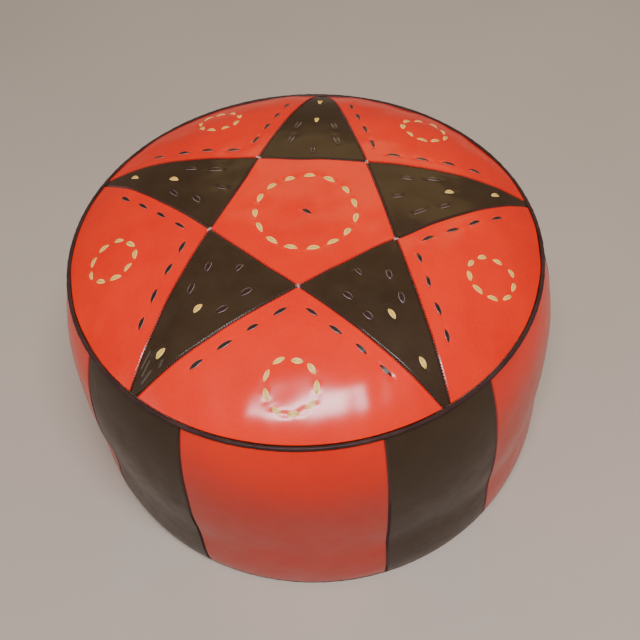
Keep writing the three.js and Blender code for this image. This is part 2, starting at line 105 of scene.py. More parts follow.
def point_angle(index):
    """Direction of a star point: the first is at the back, the rest go round clockwise."""
    return math.pi / 2 - 2 * half_step * index


# %% [markdown]
# ## Camera
#
# The camera stands in front of the pouf and well above it, looking down at a little over half a
# right angle, with a slight tilt of the frame. Its place is given in rim radii, so it would follow
# a pouf of another size.

# %% Camera
camera_place = np.array([0.3226, -2.5976, 4.0072]) * rim_radius
camera_pitch = math.radians(53.02)
camera_turn = math.radians(7.08 - 0.69)
camera_roll = math.radians(-3.39)
camera_lens = 51.74


def camera_axes():
    """Turn about the vertical, pitch down, then roll about the line of sight."""
    turn = Matrix.Rotation(camera_turn, 3, "Z")
    forward = turn @ Vector((0, math.cos(camera_pitch), -math.sin(camera_pitch)))
    up = turn @ Vector((0, math.sin(camera_pitch), math.cos(camera_pitch)))
    right = turn @ Vector((1, 0, 0))
    rolled_right = right * math.cos(camera_roll) + up * math.sin(camera_roll)
    rolled_up = up * math.cos(camera_roll) - right * math.sin(camera_roll)
    return Matrix((rolled_right, rolled_up, -forward)).transposed()


camera_data = bpy.data.cameras.new("camera")
camera_data.lens = camera_lens
camera_data.sensor_width = 36
camera = bpy.data.objects.new("camera", camera_data)
camera.matrix_world = Matrix.Translation(camera_place) @ camera_axes().to_4x4()
bpy.context.scene.collection.objects.link(camera)
bpy.context.scene.camera = camera
print("camera at", [round(float(value), 3) for value in camera_place])

# %% [markdown]
# ## Meshes from arrays
#
# Every piece is a grid of points worked out with numpy. One helper turns such a grid into a mesh.
# It can close the grid on itself across its columns or its rows, and it stores masks on the points,
# which the materials read.

# %% Grid to mesh
def link_mesh(name, mesh):
    """An object for a mesh, at the origin and in the scene."""
    piece = bpy.data.objects.new(name, mesh)
    bpy.context.scene.collection.objects.link(piece)
    return piece


def faces_to_mesh(name, points, quads, masks=None):
    """points is n x 3, quads is m x 4 indices into it; masks are named arrays of n values."""
    mesh = bpy.data.meshes.new(name)
    mesh.vertices.add(len(points))
    mesh.vertices.foreach_set("co", points.astype(np.float32).ravel())
    mesh.loops.add(quads.size)
    mesh.loops.foreach_set("vertex_index", quads.astype(np.int32).ravel())
    mesh.polygons.add(len(quads))
    mesh.polygons.foreach_set("loop_start", np.arange(0, quads.size, 4, dtype=np.int32))
    mesh.update(calc_edges=True)
    for mask, values in (masks or {}).items():
        layer = mesh.attributes.new(mask, "FLOAT", "POINT")
        layer.data.foreach_set("value", np.asarray(values, np.float32).ravel())
    mesh.polygons.foreach_set("use_smooth", np.ones(len(mesh.polygons), bool))
    return mesh


def grid_quads(rows, columns, wrap_columns=False, wrap_rows=False):
    """Indices of the four corners of every cell of a grid of points."""
    index = np.arange(rows * columns).reshape(rows, columns)
    if wrap_columns:
        index = np.hstack([index, index[:, :1]])
    if wrap_rows:
        index = np.vstack([index, index[:1]])
    cells = (index[:-1, :-1], index[:-1, 1:], index[1:, 1:], index[1:, :-1])
    return np.stack(cells, axis=-1).reshape(-1, 4)


def fan(ring, tip):
    """Triangles from each step of a ring of points to one tip."""
    return np.column_stack([ring, np.roll(ring, -1), np.full(len(ring), tip)]).tolist()


join_distance = 2e-6
collapsed_edge = 1e-7


def weld(mesh, join=True, drop=True, turn=True):
    """Merges points that lie on each other, drops what collapsed and turns the faces outwards."""
    shell = bmesh.new()
    shell.from_mesh(mesh)
    if join:
        bmesh.ops.remove_doubles(shell, verts=shell.verts, dist=join_distance)
    if drop:
        bmesh.ops.dissolve_degenerate(shell, edges=shell.edges, dist=collapsed_edge)
    if turn:
        bmesh.ops.recalc_face_normals(shell, faces=shell.faces)
    shell.to_mesh(mesh)
    shell.free()
    mesh.update()


def crowd(count, at_start=True, at_end=True, strength=0.8):
    """count steps from 0 to 1 that crowd together at the chosen ends: a line less a sine wave."""
    low, high = (0 if at_start else 0.5), (1 if at_end else 0.5)
    line = np.linspace(low, high, count)
    wave = line - strength * np.sin(2 * np.pi * line) / (2 * np.pi)
    return (wave - wave[0]) / (wave[-1] - wave[0])


def unit(vectors):
    """Vectors divided by their own length."""
    return vectors / np.maximum(np.linalg.norm(vectors, axis=-1, keepdims=True), 1e-12)


# %% [markdown]
# ## The casing as a formula
#
# A stuffed casing is a dome on a barrel. The dome falls away as a power of the radius, almost flat
# in the middle and steep at the rim. The barrel swells to a belly low down and tucks in at the foot.
# Each formula also gives the direction that points straight out of the leather.

# %% Dome and barrel
def dome(x, y):
    """Height falls from the crown as the share of the rim radius to a power."""
    share = np.hypot(x, y) / rim_radius
    height = rim_height + dome_rise * (1 - share ** dome_fullness)
    slope = dome_rise * dome_fullness * share ** (dome_fullness - 2) / rim_radius ** 2
    point = np.stack([x, y, height], axis=-1)
    return point, unit(np.stack([x * slope, y * slope, np.ones_like(x)], axis=-1))


def barrel_radius(height):
    """The belly, less a power of the way up to the rim or down to the foot."""
    up = np.clip((height - belly_height) / (rim_height - belly_height), 0, None)
    down = np.clip((belly_height - height) / (belly_height - foot_height), 0, None)
    bulge = belly_radius - rim_radius
    return belly_radius - bulge * up ** shoulder_fullness - foot_tuck * down ** foot_fullness


def barrel(angle, height):
    """A point at the barrel's radius, and the outward normal from the slope of that radius."""
    step = 0.5 * MM
    slope = (barrel_radius(height + step) - barrel_radius(height - step)) / (2 * step)
    radius = barrel_radius(height)
    point = np.stack([radius * np.cos(angle), radius * np.sin(angle), height + 0 * angle], axis=-1)
    normal = np.stack([np.cos(angle), np.sin(angle), -slope + 0 * angle], axis=-1)
    return point, unit(normal)


# %% Seams, as lines in plan
def turned(points, angle):
    """Plan points turned about the centre."""
    cosine, sine = math.cos(angle), math.sin(angle)
    x, y = points[..., 0], points[..., 1]
    return np.stack([x * cosine - y * sine, x * sine + y * cosine], axis=-1)


edge_near = np.array([apothem, half_side])
edge_far = np.array([rim_radius, star_tip_width / 2])
star_seams = []
for index in range(star_points):
    for side in (1, -1):
        ends = np.array([edge_near, edge_far]) * [1, side]
        star_seams.append(turned(ends, point_angle(index)))
    ends = np.array([edge_near * [1, -1], edge_near])
    star_seams.append(turned(ends, point_angle(index)))
star_seams = np.array(star_seams)
side_seams = np.array([point_angle(index) + side_turn + side * dark_side_angle / 2
                       for index in range(star_points) for side in (1, -1)])
print("seams:", len(star_seams), "on top,", len(side_seams), "down the side")


def top_seam_distance(x, y):
    """Distance in plan to the nearest seam of the star, each seam a straight line with two ends."""
    point = np.stack([x, y], axis=-1)
    nearest = np.full(np.shape(x), 1.0)
    for start, end in star_seams:
        line = end - start
        share = np.clip(((point - start) @ line) / (line @ line), 0, 1)
        gap = np.linalg.norm(point - start - share[..., None] * line, axis=-1)
        nearest = np.minimum(nearest, gap)
    return nearest


def side_seam_distance(angle):
    """Distance round the barrel to the nearest upright seam."""
    gaps = [np.abs((angle - seam + np.pi) % (2 * np.pi) - np.pi) for seam in side_seams]
    return np.min(gaps, axis=0) * rim_radius


# %% [markdown]
# ## Swelling the casing
#
# Stuffing pushes leather out between the seams that hold it. That is what a cloth simulation with
# pressure does. The whole casing is one polar grid. Its seams, rim and foot are held by a vertex
# group, the rest is blown out for twenty frames, and the movement of every point is kept as a
# table over angle and way down the profile. All the pieces read that table, so neighbours agree.

# %% Simulate the casing
sim_columns = 240
sim_top_rows = 44
sim_side_rows = 40
sim_frames = 20
swell_limit = 4.5 * MM
held_width = 7 * MM


def casing_grid():
    """Rings from just off the crown to the rim, then down the barrel to the foot."""
    angle = np.arange(sim_columns) * 2 * np.pi / sim_columns
    radii = np.linspace(0, rim_radius, sim_top_rows + 1)[1:]
    heights = np.linspace(rim_height, foot_height, sim_side_rows + 1)[1:]
    top_x, top_y = radii[:, None] * np.cos(angle), radii[:, None] * np.sin(angle)
    top, _ = dome(top_x, top_y)
    side, _ = barrel(angle[None, :] + 0 * heights[:, None], heights[:, None] + 0 * angle[None, :])
    held_top = np.exp(-(top_seam_distance(top_x, top_y) / held_width) ** 2)
    held_side = np.exp(-(side_seam_distance(angle) / held_width) ** 2) * np.ones((sim_side_rows, 1))
    held = np.vstack([held_top, held_side])
    held[sim_top_rows - 1] = 1
    held[-1] = 1
    return np.vstack([top, side]), held


def simulate_casing():
    """Closes the grid with a crown point and a foot point, swells it, and returns the movement."""
    grid, held = casing_grid()
    rows = len(grid)
    poles = [[0, 0, rim_height + dome_rise], [0, 0, foot_height]]
    points = np.vstack([grid.reshape(-1, 3), poles])
    ring = np.arange(sim_columns)
    crown_point, foot_point = len(points) - 2, len(points) - 1
    faces = grid_quads(rows, sim_columns, wrap_columns=True).tolist()
    faces += fan(ring, crown_point) + fan(ring + (rows - 1) * sim_columns, foot_point)
    mesh = bpy.data.meshes.new("casing_trial")
    mesh.from_pydata(points.tolist(), [], faces)
    weld(mesh, join=False, drop=False)
    trial = link_mesh("casing_trial", mesh)
    group = trial.vertex_groups.new(name="held")
    levels = np.round(np.append(held.ravel(), [0, 1]), 2)
    for level in np.unique(levels):
        group.add(np.flatnonzero(levels == level).tolist(), float(level), "REPLACE")
    cloth = trial.modifiers.new("swell", "CLOTH")
    settings = cloth.settings
    settings.quality = 6
    settings.mass = 0.4
    settings.tension_stiffness = settings.compression_stiffness = 25
    settings.shear_stiffness = 15
    settings.bending_stiffness = 2
    settings.vertex_group_mass = "held"
    settings.pin_stiffness = 1
    settings.use_pressure = True
    settings.uniform_pressure_force = 4
    settings.effector_weights.gravity = 0
    cloth.collision_settings.use_collision = False
    cloth.point_cache.frame_start = 1
    cloth.point_cache.frame_end = sim_frames
    for step in range(1, sim_frames + 1):
        bpy.context.scene.frame_set(step)
    swollen = trial.evaluated_get(bpy.context.evaluated_depsgraph_get()).to_mesh()
    after = np.zeros(len(swollen.vertices) * 3, np.float32)
    swollen.vertices.foreach_get("co", after)
    movement = (after.reshape(-1, 3) - points)[:-2].reshape(rows, sim_columns, 3)
    bpy.data.objects.remove(trial)
    bpy.context.scene.frame_set(1)
    length = np.linalg.norm(movement, axis=-1, keepdims=True)
    print(f"swelling: mean {length.mean() / MM:.2f} mm, most {length.max() / MM:.2f} mm")
    return movement * (swell_limit * np.tanh(length / swell_limit) / np.maximum(length, 1e-9))


swell = simulate_casing()
# The crown moves as the ring next to it does on average.
swell = np.vstack([np.tile(swell[0].mean(axis=0), (1, sim_columns, 1)), swell])


def swelling(angle, row):
    """Reads the table between its points: linear down the rows and round the columns."""
    column = (angle / (2 * np.pi)) % 1 * sim_columns
    low_column = np.floor(column).astype(int) % sim_columns
    next_column = (low_column + 1) % sim_columns
    across = (column - np.floor(column))[..., None]
    low_row = np.clip(np.floor(row).astype(int), 0, len(swell) - 2)
    down = np.clip(row - low_row, 0, 1)[..., None]
    upper = swell[low_row, low_column] * (1 - across) + swell[low_row, next_column] * across
    lower = swell[low_row + 1, low_column] * (1 - across) + swell[low_row + 1, next_column] * across
    return upper * (1 - down) + lower * down


# %% [markdown]
# ## How the real one has settled
#
# No pouf stays a perfect round. The stuffing has shifted: the rim leans a little towards the back
# right, the plan is slightly oval, and the side has a soft waist where it is sat down. One function
# applies the lean and the oval to every point of every soft piece.

# %% Settling
lean = np.array([-0.0418, -0.0350])
oval = 0.0196
oval_angle = math.radians(56.9)
waist_depth = 3.0 * MM
waist_height = 84 * MM
waist_spread = 30 * MM


def settle(points):
    """Stretches the plan along one diagonal and tilts the rim, both growing with height."""
    x, y, z = points[..., 0], points[..., 1], points[..., 2]
    share = np.clip(z / rim_height, 0, 1)
    stretch = 1 + oval * share * np.cos(2 * (np.arctan2(y, x) - oval_angle))
    lifted = z + share * (lean[0] * x + lean[1] * y)
    return np.stack([x * stretch, y * stretch, lifted], axis=-1)


def soft_folds(angle, height):
    """A waist that fades in and out round the side, and long shallow waves that die at both ends."""
    waist = np.exp(-((height - waist_height) / waist_spread) ** 2)
    round_about = 0.72 + 0.28 * np.cos(2 * angle + 0.7)
    share = np.clip((height - foot_height) / (side_top - foot_height), 0, 1)
    free = np.sin(np.pi * share) ** 0.8
    waves = np.sin(5 * angle + 9 * share + 1.3) * 0.7 + np.sin(9 * angle - 14 * share) * 0.35
    waves += np.sin(17 * angle + 22 * share + 0.4) * 0.16
    return -waist_depth * waist * round_about + 0.9 * MM * free * waves


# %% [markdown]
# ## Relief
#
# A seam lies in a narrow valley, a thong draws the leather down at its slits, and handling leaves
# shallow marks. All are small heights added along the normal, and each is a formula of the plan.

# %% Seam relief
seam_depth = 0.75 * MM
seam_width = 1.2 * MM
roll_width = 5 * MM
roll_height = 0.1 * MM
slit_depth = 0.6 * MM
slit_width = 2.4 * MM
slit_places = []


def seam_relief(distance):
    """A narrow valley at the seam, with a low shoulder beside it where the allowance is folded."""
    valley = -seam_depth * np.exp(-(distance / seam_width) ** 2)
    shoulder = roll_height * np.exp(-((distance - roll_width / 2) / (roll_width / 3)) ** 2)
    return valley + shoulder


mark_waves = 22
marks = np.random.default_rng(5)
mark_turn = marks.uniform(0, 2 * np.pi, mark_waves)
mark_pitch = 2 * np.pi / (marks.uniform(22, 85, mark_waves) * MM)
mark_phase = marks.uniform(0, 2 * np.pi, mark_waves)
mark_slope = 0.011
mark_height = mark_slope / mark_pitch


def handling(x, y):
    """Shallow hollows and swellings a few centimetres across, left by hands and the filling:
    many plane waves of seeded directions, lengths and phases, the longer ones the taller."""
    total = np.zeros(np.shape(x))
    for turn, pitch, phase, height in zip(mark_turn, mark_pitch, mark_phase, mark_height):
        total += height * np.sin(pitch * (x * math.cos(turn) + y * math.sin(turn)) + phase)
    return total


hump_height = 1.3 * MM
hump_size = 4 * MM
scuffed_star = 3
kinked_stitch = apothem + 0.75 * star_reach
# Strokes of the scuff, as distances along and across the star point from that stitch, in mm.
scuff_strokes = [((4, -9), (19, -7)), ((11, -4), (24, -2)), ((3, 6), (9, 8)), ((16, 3), (29, 2))]
scuff_width = 0.5 * MM


def hump(x, y):
    """A small pucker of leather pushed up beside the kinked stitch."""
    place = turned(np.array([kinked_stitch + 1.5 * MM, -6.5 * MM]), point_angle(scuffed_star))
    return hump_height * np.exp(-((x - place[0]) ** 2 + (y - place[1]) ** 2) / hump_size ** 2)


def scuff_mask(x, y):
    """Nearness to any stroke of the scuff, each a short straight scratch."""
    point = turned(np.stack([x, y], axis=-1), -point_angle(scuffed_star)) - [kinked_stitch, 0]
    mask = np.zeros(np.shape(x))
    for start, end in np.array(scuff_strokes, float) * MM:
        line = end - start
        share = np.clip(((point - start) @ line) / (line @ line), 0, 1)
        gap = np.linalg.norm(point - start - share[..., None] * line, axis=-1)
        mask = np.maximum(mask, np.exp(-(gap / scuff_width) ** 2))
    return mask


def slit_relief(x, y):
    """The leather is drawn down round each slit by the thong that passes through it."""
    pulled = np.zeros(np.shape(x))
    for place in slit_places:
        gap = (x - place[0]) ** 2 + (y - place[1]) ** 2
        pulled -= slit_depth * np.exp(-gap / slit_width ** 2)
    return pulled


def on_top(x, y, lift=0.0):
    """A point over the dome: the formula, the swelling, the relief and a lift along the normal."""
    point, normal = dome(x, y)
    row = np.hypot(x, y) / rim_radius * sim_top_rows
    rise = seam_relief(top_seam_distance(x, y)) + slit_relief(x, y) + handling(x, y) + lift
    rise = rise + hump(x, y)
    moved = point + swelling(np.arctan2(y, x), row) + normal * np.asarray(rise)[..., None]
    return settle(moved)


def on_side(angle, height, lift=0.0):
    """The same for the barrel, with its folds."""
    point, normal = barrel(angle, height)
    row = sim_top_rows + (rim_height - height) / (rim_height - foot_height) * sim_side_rows
    rise = seam_relief(side_seam_distance(angle)) + soft_folds(angle, height) + lift
    moved = point + swelling(angle, row) + normal * np.asarray(rise)[..., None]
    return settle(moved)


# %% [markdown]
# ## Where the thongs pass
#
# A stitch is the stretch of thong seen on top. It has a middle, a direction, a length and a width.
# Hand lacing is never even, so each stitch gets a small seeded change of all four.

# %% Stitch plan
hand = np.random.default_rng(11)


def stitch_rows(middles, angles, length, width):
    """A row of stitches as one array: x, y, direction, length, width of each."""
    middles = np.asarray(middles, float)
    count = len(middles)
    middles = middles + hand.normal(0, 0.5 * MM, (count, 2))
    angles = np.asarray(angles, float) + hand.normal(0, 0.07, count)
    lengths = length * (1 + hand.normal(0, 0.07, count))
    widths = width * (1 + hand.normal(0, 0.07, count))
    return np.column_stack([middles, angles, lengths, widths])


def ring_row(centre, radius, count, length, width):
    """Stitches evenly round a circle, each along its tangent."""
    turn = np.pi / 2 + 2 * np.pi * np.arange(count) / count
    middles = np.asarray(centre) + radius * np.column_stack([np.cos(turn), np.sin(turn)])
    return stitch_rows(middles, turn + np.pi / 2, length, width)


def turn_row(row, angle):
    """A row of stitches turned about the middle of the pouf."""
    row = row.copy()
    row[:, :2] = turned(row[:, :2], angle)
    row[:, 2] += angle
    return row


def dark_star_row(index):
    """Two stitches along each edge of a star point and one on its axis, by the pentagon."""
    share = np.array([0.374, 0.205])
    along = apothem + share * star_reach
    across = 0.53 * (half_side + (star_tip_width / 2 - half_side) * share)
    first = np.column_stack([along, across])
    middle_stitch = np.array([[apothem + 0.1 * star_reach, 0]])
    second = (first * [1, -1])[::-1]
    angles = [np.pi - edge_lean] * 2 + [0] + [edge_lean] * 2
    row = stitch_rows(np.vstack([first, middle_stitch, second]), angles, 14.5 * MM, 5.6 * MM)
    row[2, 3:] *= 0.8
    return turn_row(row, point_angle(index))


def gold_star_row(index):
    """Two gold stitches on the axis of a star point."""
    along = apothem + np.array([0.44, 0.75]) * star_reach
    row = stitch_rows(np.column_stack([along, 0 * along]), [0, 0], 11.6 * MM, 5.4 * MM)
    return turn_row(row, point_angle(index))


def v_row(index):
    """Four stitches beside each star edge of a red panel, down one edge and up the other."""
    start, end = turned(edge_near * [1, -1], half_step), turned(edge_far * [1, -1], half_step)
    length = np.linalg.norm(end - start)
    direction = (end - start) / length
    along = np.linspace(29 * MM, length - 61 * MM, 4)
    inward = 15 * MM * np.array([direction[1], -direction[0]])
    up = start + along[:, None] * direction + inward
    angle = math.atan2(direction[1], direction[0])
    down = (up * [1, -1])[::-1]
    angles = [np.pi - angle] * 4 + [angle] * 4
    row = stitch_rows(np.vstack([down, up]), angles, 14.5 * MM, 4.4 * MM)
    return turn_row(row, point_angle(index) - half_step)


# The rings were marked by eye: on the right and at the back they sit a little round from the middle.
ring_drift = np.radians([-1.0, 1.0, 0, 0, -1.0])


def panel_ring_row(index):
    """The gold ring of a red panel, with its own small drift round the pouf."""
    ring = ring_row([rim_radius - 50 * MM, 0], 23.7 * MM, 9, 11.8 * MM, 5.2 * MM)
    return turn_row(ring, point_angle(index) - half_step + ring_drift[index])


lacing = {"centre_ring_lace": (ring_row([0, 0], 52 * MM, 15, 13.4 * MM, 5.4 * MM), "gold", True),
          "centre_tie": (stitch_rows([[0, 0]], [math.radians(145)], 11 * MM, 5.2 * MM), "brown", False)}
for index in range(star_points):
    lacing[f"ring_lace_{index + 1}"] = (panel_ring_row(index), "gold", True)
    lacing[f"v_lace_{index + 1}"] = (v_row(index), "brown", False)
    lacing[f"star_lace_dark_{index + 1}"] = (dark_star_row(index), "brown", False)
    lacing[f"star_lace_gold_{index + 1}"] = (gold_star_row(index), "gold", False)

for row, _, _ in lacing.values():
    reach = np.column_stack([np.cos(row[:, 2]), np.sin(row[:, 2])]) * row[:, 3:4] / 2
    slit_places.extend((row[:, :2] + reach).tolist())
    slit_places.extend((row[:, :2] - reach).tolist())
print("stitches:", sum(len(row) for row, _, _ in lacing.values()), "slits:", len(slit_places))

# %% [markdown]
# ## Materials
#
# Goatskin that has been dyed and waxed is blotchy, with a fine pebbled grain, a soft shine and
# darker dirt in its seams; low on the side its colour is darkened as painted shade. That effect is one
# node group, used by every leather with its own colours and strengths. The shader itself stays in each
# material.

# %% Node helpers
def add_node(tree, kind, place, **settings):
    """A node with its place in the editor and its settings."""
    node = tree.nodes.new(kind)
    node.location = place
    for key, value in settings.items():
        setattr(node, key, value)
    return node


def set_inputs(node, **values):
    """Sets sockets by name, with _ for a space."""
    for key, value in values.items():
        node.inputs[key.replace("_", " ")].default_value = value
    return node


def ramp(tree, source, low, high, place):
    """Carries a value from low..high to 0..1 without going outside."""
    node = add_node(tree, "ShaderNodeMapRange", place)
    node.inputs["From Min"].default_value = low
    node.inputs["From Max"].default_value = high
    tree.links.new(source, node.inputs["Value"])
    return node.outputs["Result"]


def maths(tree, operation, first, second, place, third=0.5):
    """One sum on numbers or sockets; third is what MULTIPLY_ADD adds."""
    node = add_node(tree, "ShaderNodeMath", place, operation=operation)
    for socket, value in zip(node.inputs, (first, second, third)):
        if isinstance(value, (int, float)):
            socket.default_value = value
        else:
            tree.links.new(value, socket)
    return node.outputs["Value"]


def mixed(tree, factor, first, second, place, blend="MIX"):
    """Two colours mixed by a factor; each may be a number, a colour or a socket."""
    node = add_node(tree, "ShaderNodeMix", place, data_type="RGBA", blend_type=blend)
    for socket, value in ((node.inputs[0], factor), (node.inputs[6], first), (node.inputs[7], second)):
        if isinstance(value, (int, float)):
            socket.default_value = value
        elif isinstance(value, tuple):
            socket.default_value = (*value, 1)
        else:
            tree.links.new(value, socket)
    return node.outputs[2]


def new_group(name, inputs, outputs):
    """A node group with its sockets and its two end nodes."""
    group = bpy.data.node_groups.new(name, "ShaderNodeTree")
    for socket, kind, value in inputs:
        item = group.interface.new_socket(socket, in_out="INPUT", socket_type=kind)
        if value is not None:
            item.default_value = value
    for socket, kind in outputs:
        group.interface.new_socket(socket, in_out="OUTPUT", socket_type=kind)
    enter = add_node(group, "NodeGroupInput", (-1200, 0))
    leave = add_node(group, "NodeGroupOutput", (900, 0))
    return group, enter, leave


# %% Leather group
def build_leather_group():
    """Blotches, pebbled grain, seam dirt and painted shade low on the side, as a colour, a roughness and
    a height.
    """
    group, enter, leave = new_group(
        "waxed_leather",
        [("Vector", "NodeSocketVector", None), ("Base", "NodeSocketColor", None),
         ("Deep", "NodeSocketColor", None), ("Worn", "NodeSocketColor", None),
         ("Seam", "NodeSocketFloat", 0.0), ("Scuff", "NodeSocketFloat", 0.0),
         ("Shade below", "NodeSocketFloat", 0.0),
         ("Shade colour", "NodeSocketColor", None), ("Grain", "NodeSocketFloat", 900.0),
         ("Blotch", "NodeSocketFloat", 11.0), ("Rough", "NodeSocketFloat", 0.36)],
        [("Color", "NodeSocketColor"), ("Roughness", "NodeSocketFloat"), ("Height", "NodeSocketFloat")],
    )
    link = group.links.new
    vector = enter.outputs["Vector"]

    def noise(scale, detail, place):
        """Noise of one scale, read at the group's vector."""
        node = add_node(group, "ShaderNodeTexNoise", place)
        node.inputs["Detail"].default_value = detail
        if isinstance(scale, (int, float)):
            node.inputs["Scale"].default_value = scale
        else:
            link(scale, node.inputs["Scale"])
        link(vector, node.inputs["Vector"])
        return node.outputs["Fac"]

    blotches = ramp(group, noise(enter.outputs["Blotch"], 5, (-900, 300)), 0.34, 0.68, (-700, 300))
    patches = ramp(group, noise(46, 3, (-900, 100)), 0.36, 0.7, (-700, 100))
    pores = ramp(group, noise(700, 2, (-900, -100)), 0.35, 0.65, (-700, -100))
    cells = add_node(group, "ShaderNodeTexVoronoi", (-900, -300), feature="DISTANCE_TO_EDGE")
    link(vector, cells.inputs["Vector"])
    link(enter.outputs["Grain"], cells.inputs["Scale"])
    creases = ramp(group, cells.outputs["Distance"], 0.0, 0.16, (-700, -300))

    tone = mixed(group, maths(group, "MULTIPLY", blotches, 0.75, (-500, 300)),
                 enter.outputs["Base"], enter.outputs["Deep"], (-300, 300))
    spots = maths(group, "MULTIPLY", patches, 0.3, (-500, 100))
    tone = mixed(group, spots, tone, enter.outputs["Worn"], (-100, 250))
    shade = maths(group, "MULTIPLY_ADD", creases, 0.14, (-500, -300), 0.86)
    tone = mixed(group, 1.0, tone, shade, (100, 200), blend="MULTIPLY")
    scratch = maths(group, "MULTIPLY", enter.outputs["Scuff"], 0.3, (-100, 0))
    # Painted shade: the lower side is mixed towards a darker colour by the low mask.
    tone = mixed(group, enter.outputs["Shade below"], tone, enter.outputs["Shade colour"], (150, 350))
    tone = mixed(group, scratch, tone, (0.36, 0.30, 0.25), (200, 300))
    dirt = maths(group, "MULTIPLY", enter.outputs["Seam"], 0.5, (100, 0))
    tone = mixed(group, dirt, tone, (0.01, 0.006, 0.004), (300, 150))
    link(tone, leave.inputs["Color"])

    rough = maths(group, "MULTIPLY_ADD", patches, 0.13, (100, -150), enter.outputs["Rough"])
    rough = maths(group, "MULTIPLY_ADD", blotches, -0.06, (300, -150), rough)
    rough = maths(group, "MULTIPLY_ADD", enter.outputs["Seam"], 0.2, (500, -150), rough)
    link(rough, leave.inputs["Roughness"])

    ripples = ramp(group, noise(130, 2, (-900, -500)), 0.25, 0.75, (-700, -500))
    grain = maths(group, "MULTIPLY", creases, 0.5, (100, -400))
    height = maths(group, "MULTIPLY_ADD", pores, 0.35, (300, -400), grain)
    raised = maths(group, "MULTIPLY_ADD", ripples, 1.6, (500, -400), height)
    link(raised, leave.inputs["Height"])
    return group


leather_group = build_leather_group()
print("leather group:", len(leather_group.nodes), "nodes")


# %% Leather materials
def leather(name, base, deep, worn, low_shade=None, rough=0.5, grain=900.0, blotch=11.0, bump=0.4,
            coat=0.6, coat_rough=0.18):
    """A waxed leather. Its pieces carry masks: seam is 1 down in a seam, low is 1 low on the side,
    where shade is painted by darkening the colour, and scuff is 1 along a scratch."""
    material = bpy.data.materials.new(name)
    material.use_nodes = True
    tree = material.node_tree
    shader = tree.nodes["Principled BSDF"]
    place = add_node(tree, "ShaderNodeTexCoord", (-900, 0))
    seam = add_node(tree, "ShaderNodeAttribute", (-900, -300), attribute_name="seam")
    scuff = add_node(tree, "ShaderNodeAttribute", (-900, -500), attribute_name="scuff")
    low = add_node(tree, "ShaderNodeAttribute", (-900, -700), attribute_name="low")
    finish = add_node(tree, "ShaderNodeGroup", (-600, 0), node_tree=leather_group)
    for socket, colour in (("Base", base), ("Deep", deep), ("Worn", worn), ("Shade colour", low_shade or base)):
        finish.inputs[socket].default_value = (*colour, 1)
    finish.inputs["Grain"].default_value = grain
    finish.inputs["Blotch"].default_value = blotch
    finish.inputs["Rough"].default_value = rough
    raised = add_node(tree, "ShaderNodeBump", (-300, -250))
    raised.inputs["Strength"].default_value = bump
    raised.inputs["Distance"].default_value = 0.4 * MM
    link = tree.links.new
    link(place.outputs["Object"], finish.inputs["Vector"])
    link(seam.outputs["Fac"], finish.inputs["Seam"])
    link(scuff.outputs["Fac"], finish.inputs["Scuff"])
    link(low.outputs["Fac"], finish.inputs["Shade below"])
    link(finish.outputs["Color"], shader.inputs["Base Color"])
    link(finish.outputs["Roughness"], shader.inputs["Roughness"])
    link(finish.outputs["Height"], raised.inputs["Height"])
    link(raised.outputs["Normal"], shader.inputs["Normal"])
    shader.inputs["Specular IOR Level"].default_value = 0.1
    shader.inputs["Coat Weight"].default_value = coat
    shader.inputs["Coat Roughness"].default_value = coat_rough
    return material


# The colour given for the lower side is painted shade, darker than the base.
red_leather = leather("red_leather", (0.95, 0.022, 0.0), (0.80, 0.009, 0.0), (0.95, 0.036, 0.001),
                      low_shade=(0.56, 0.026, 0.008))
dark_leather = leather("dark_leather", (0.046, 0.025, 0.011), (0.029, 0.016, 0.007),
                       (0.070, 0.042, 0.021), coat=0.34)
piping_leather = leather("piping_leather", (0.046, 0.021, 0.019), (0.024, 0.012, 0.010),
                         (0.11, 0.058, 0.056), rough=0.5, grain=1300.0, blotch=40.0, coat=0.12)
base_leather = leather("base_leather", (0.040, 0.026, 0.016), (0.024, 0.015, 0.010),
                       (0.075, 0.052, 0.036), rough=0.55, coat=0.0)


# %% Thong, thread, cloth and metal materials
def thong_material(name, face, trough_shade_colour, cut_edge_and_highlight, rough):
    """A flat thong: its dyed face, painted shade down the middle of its trough, and a pale edge that is
    partly its raw cut edge and partly a painted highlight where the curled edge catches the light.
    """
    material = bpy.data.materials.new(name)
    material.use_nodes = True
    tree = material.node_tree
    link = tree.links.new
    shader = tree.nodes["Principled BSDF"]
    across = add_node(tree, "ShaderNodeAttribute", (-1100, 200), attribute_name="across")
    place = add_node(tree, "ShaderNodeTexCoord", (-1100, -100))
    mottle = add_node(tree, "ShaderNodeTexNoise", (-900, -100))
    set_inputs(mottle, Scale=420.0, Detail=4.0)
    link(place.outputs["Object"], mottle.inputs["Vector"])
    # Painted light across the thong: a highlight on its pale edges and shade down its middle.
    edge = ramp(tree, across.outputs["Fac"], 0.78, 1.0, (-800, 250))
    trough_shade = ramp(tree, across.outputs["Fac"], 0.75, 0.1, (-800, 50))
    blotch = ramp(tree, mottle.outputs["Fac"], 0.35, 0.65, (-700, -100))
    strength = maths(tree, "MULTIPLY_ADD", blotch, 0.5, (-600, -50), 0.5)
    trough_shade = maths(tree, "MULTIPLY", trough_shade, strength, (-500, 0))
    colour = mixed(tree, trough_shade, face, trough_shade_colour, (-300, 150))
    colour = mixed(tree, edge, colour, cut_edge_and_highlight, (-150, 150))
    link(colour, shader.inputs["Base Color"])
    raised = add_node(tree, "ShaderNodeBump", (-300, -250))
    set_inputs(raised, Strength=0.25, Distance=0.3 * MM)
    link(mottle.outputs["Fac"], raised.inputs["Height"])
    link(raised.outputs["Normal"], shader.inputs["Normal"])
    shader.inputs["Roughness"].default_value = rough
    return material


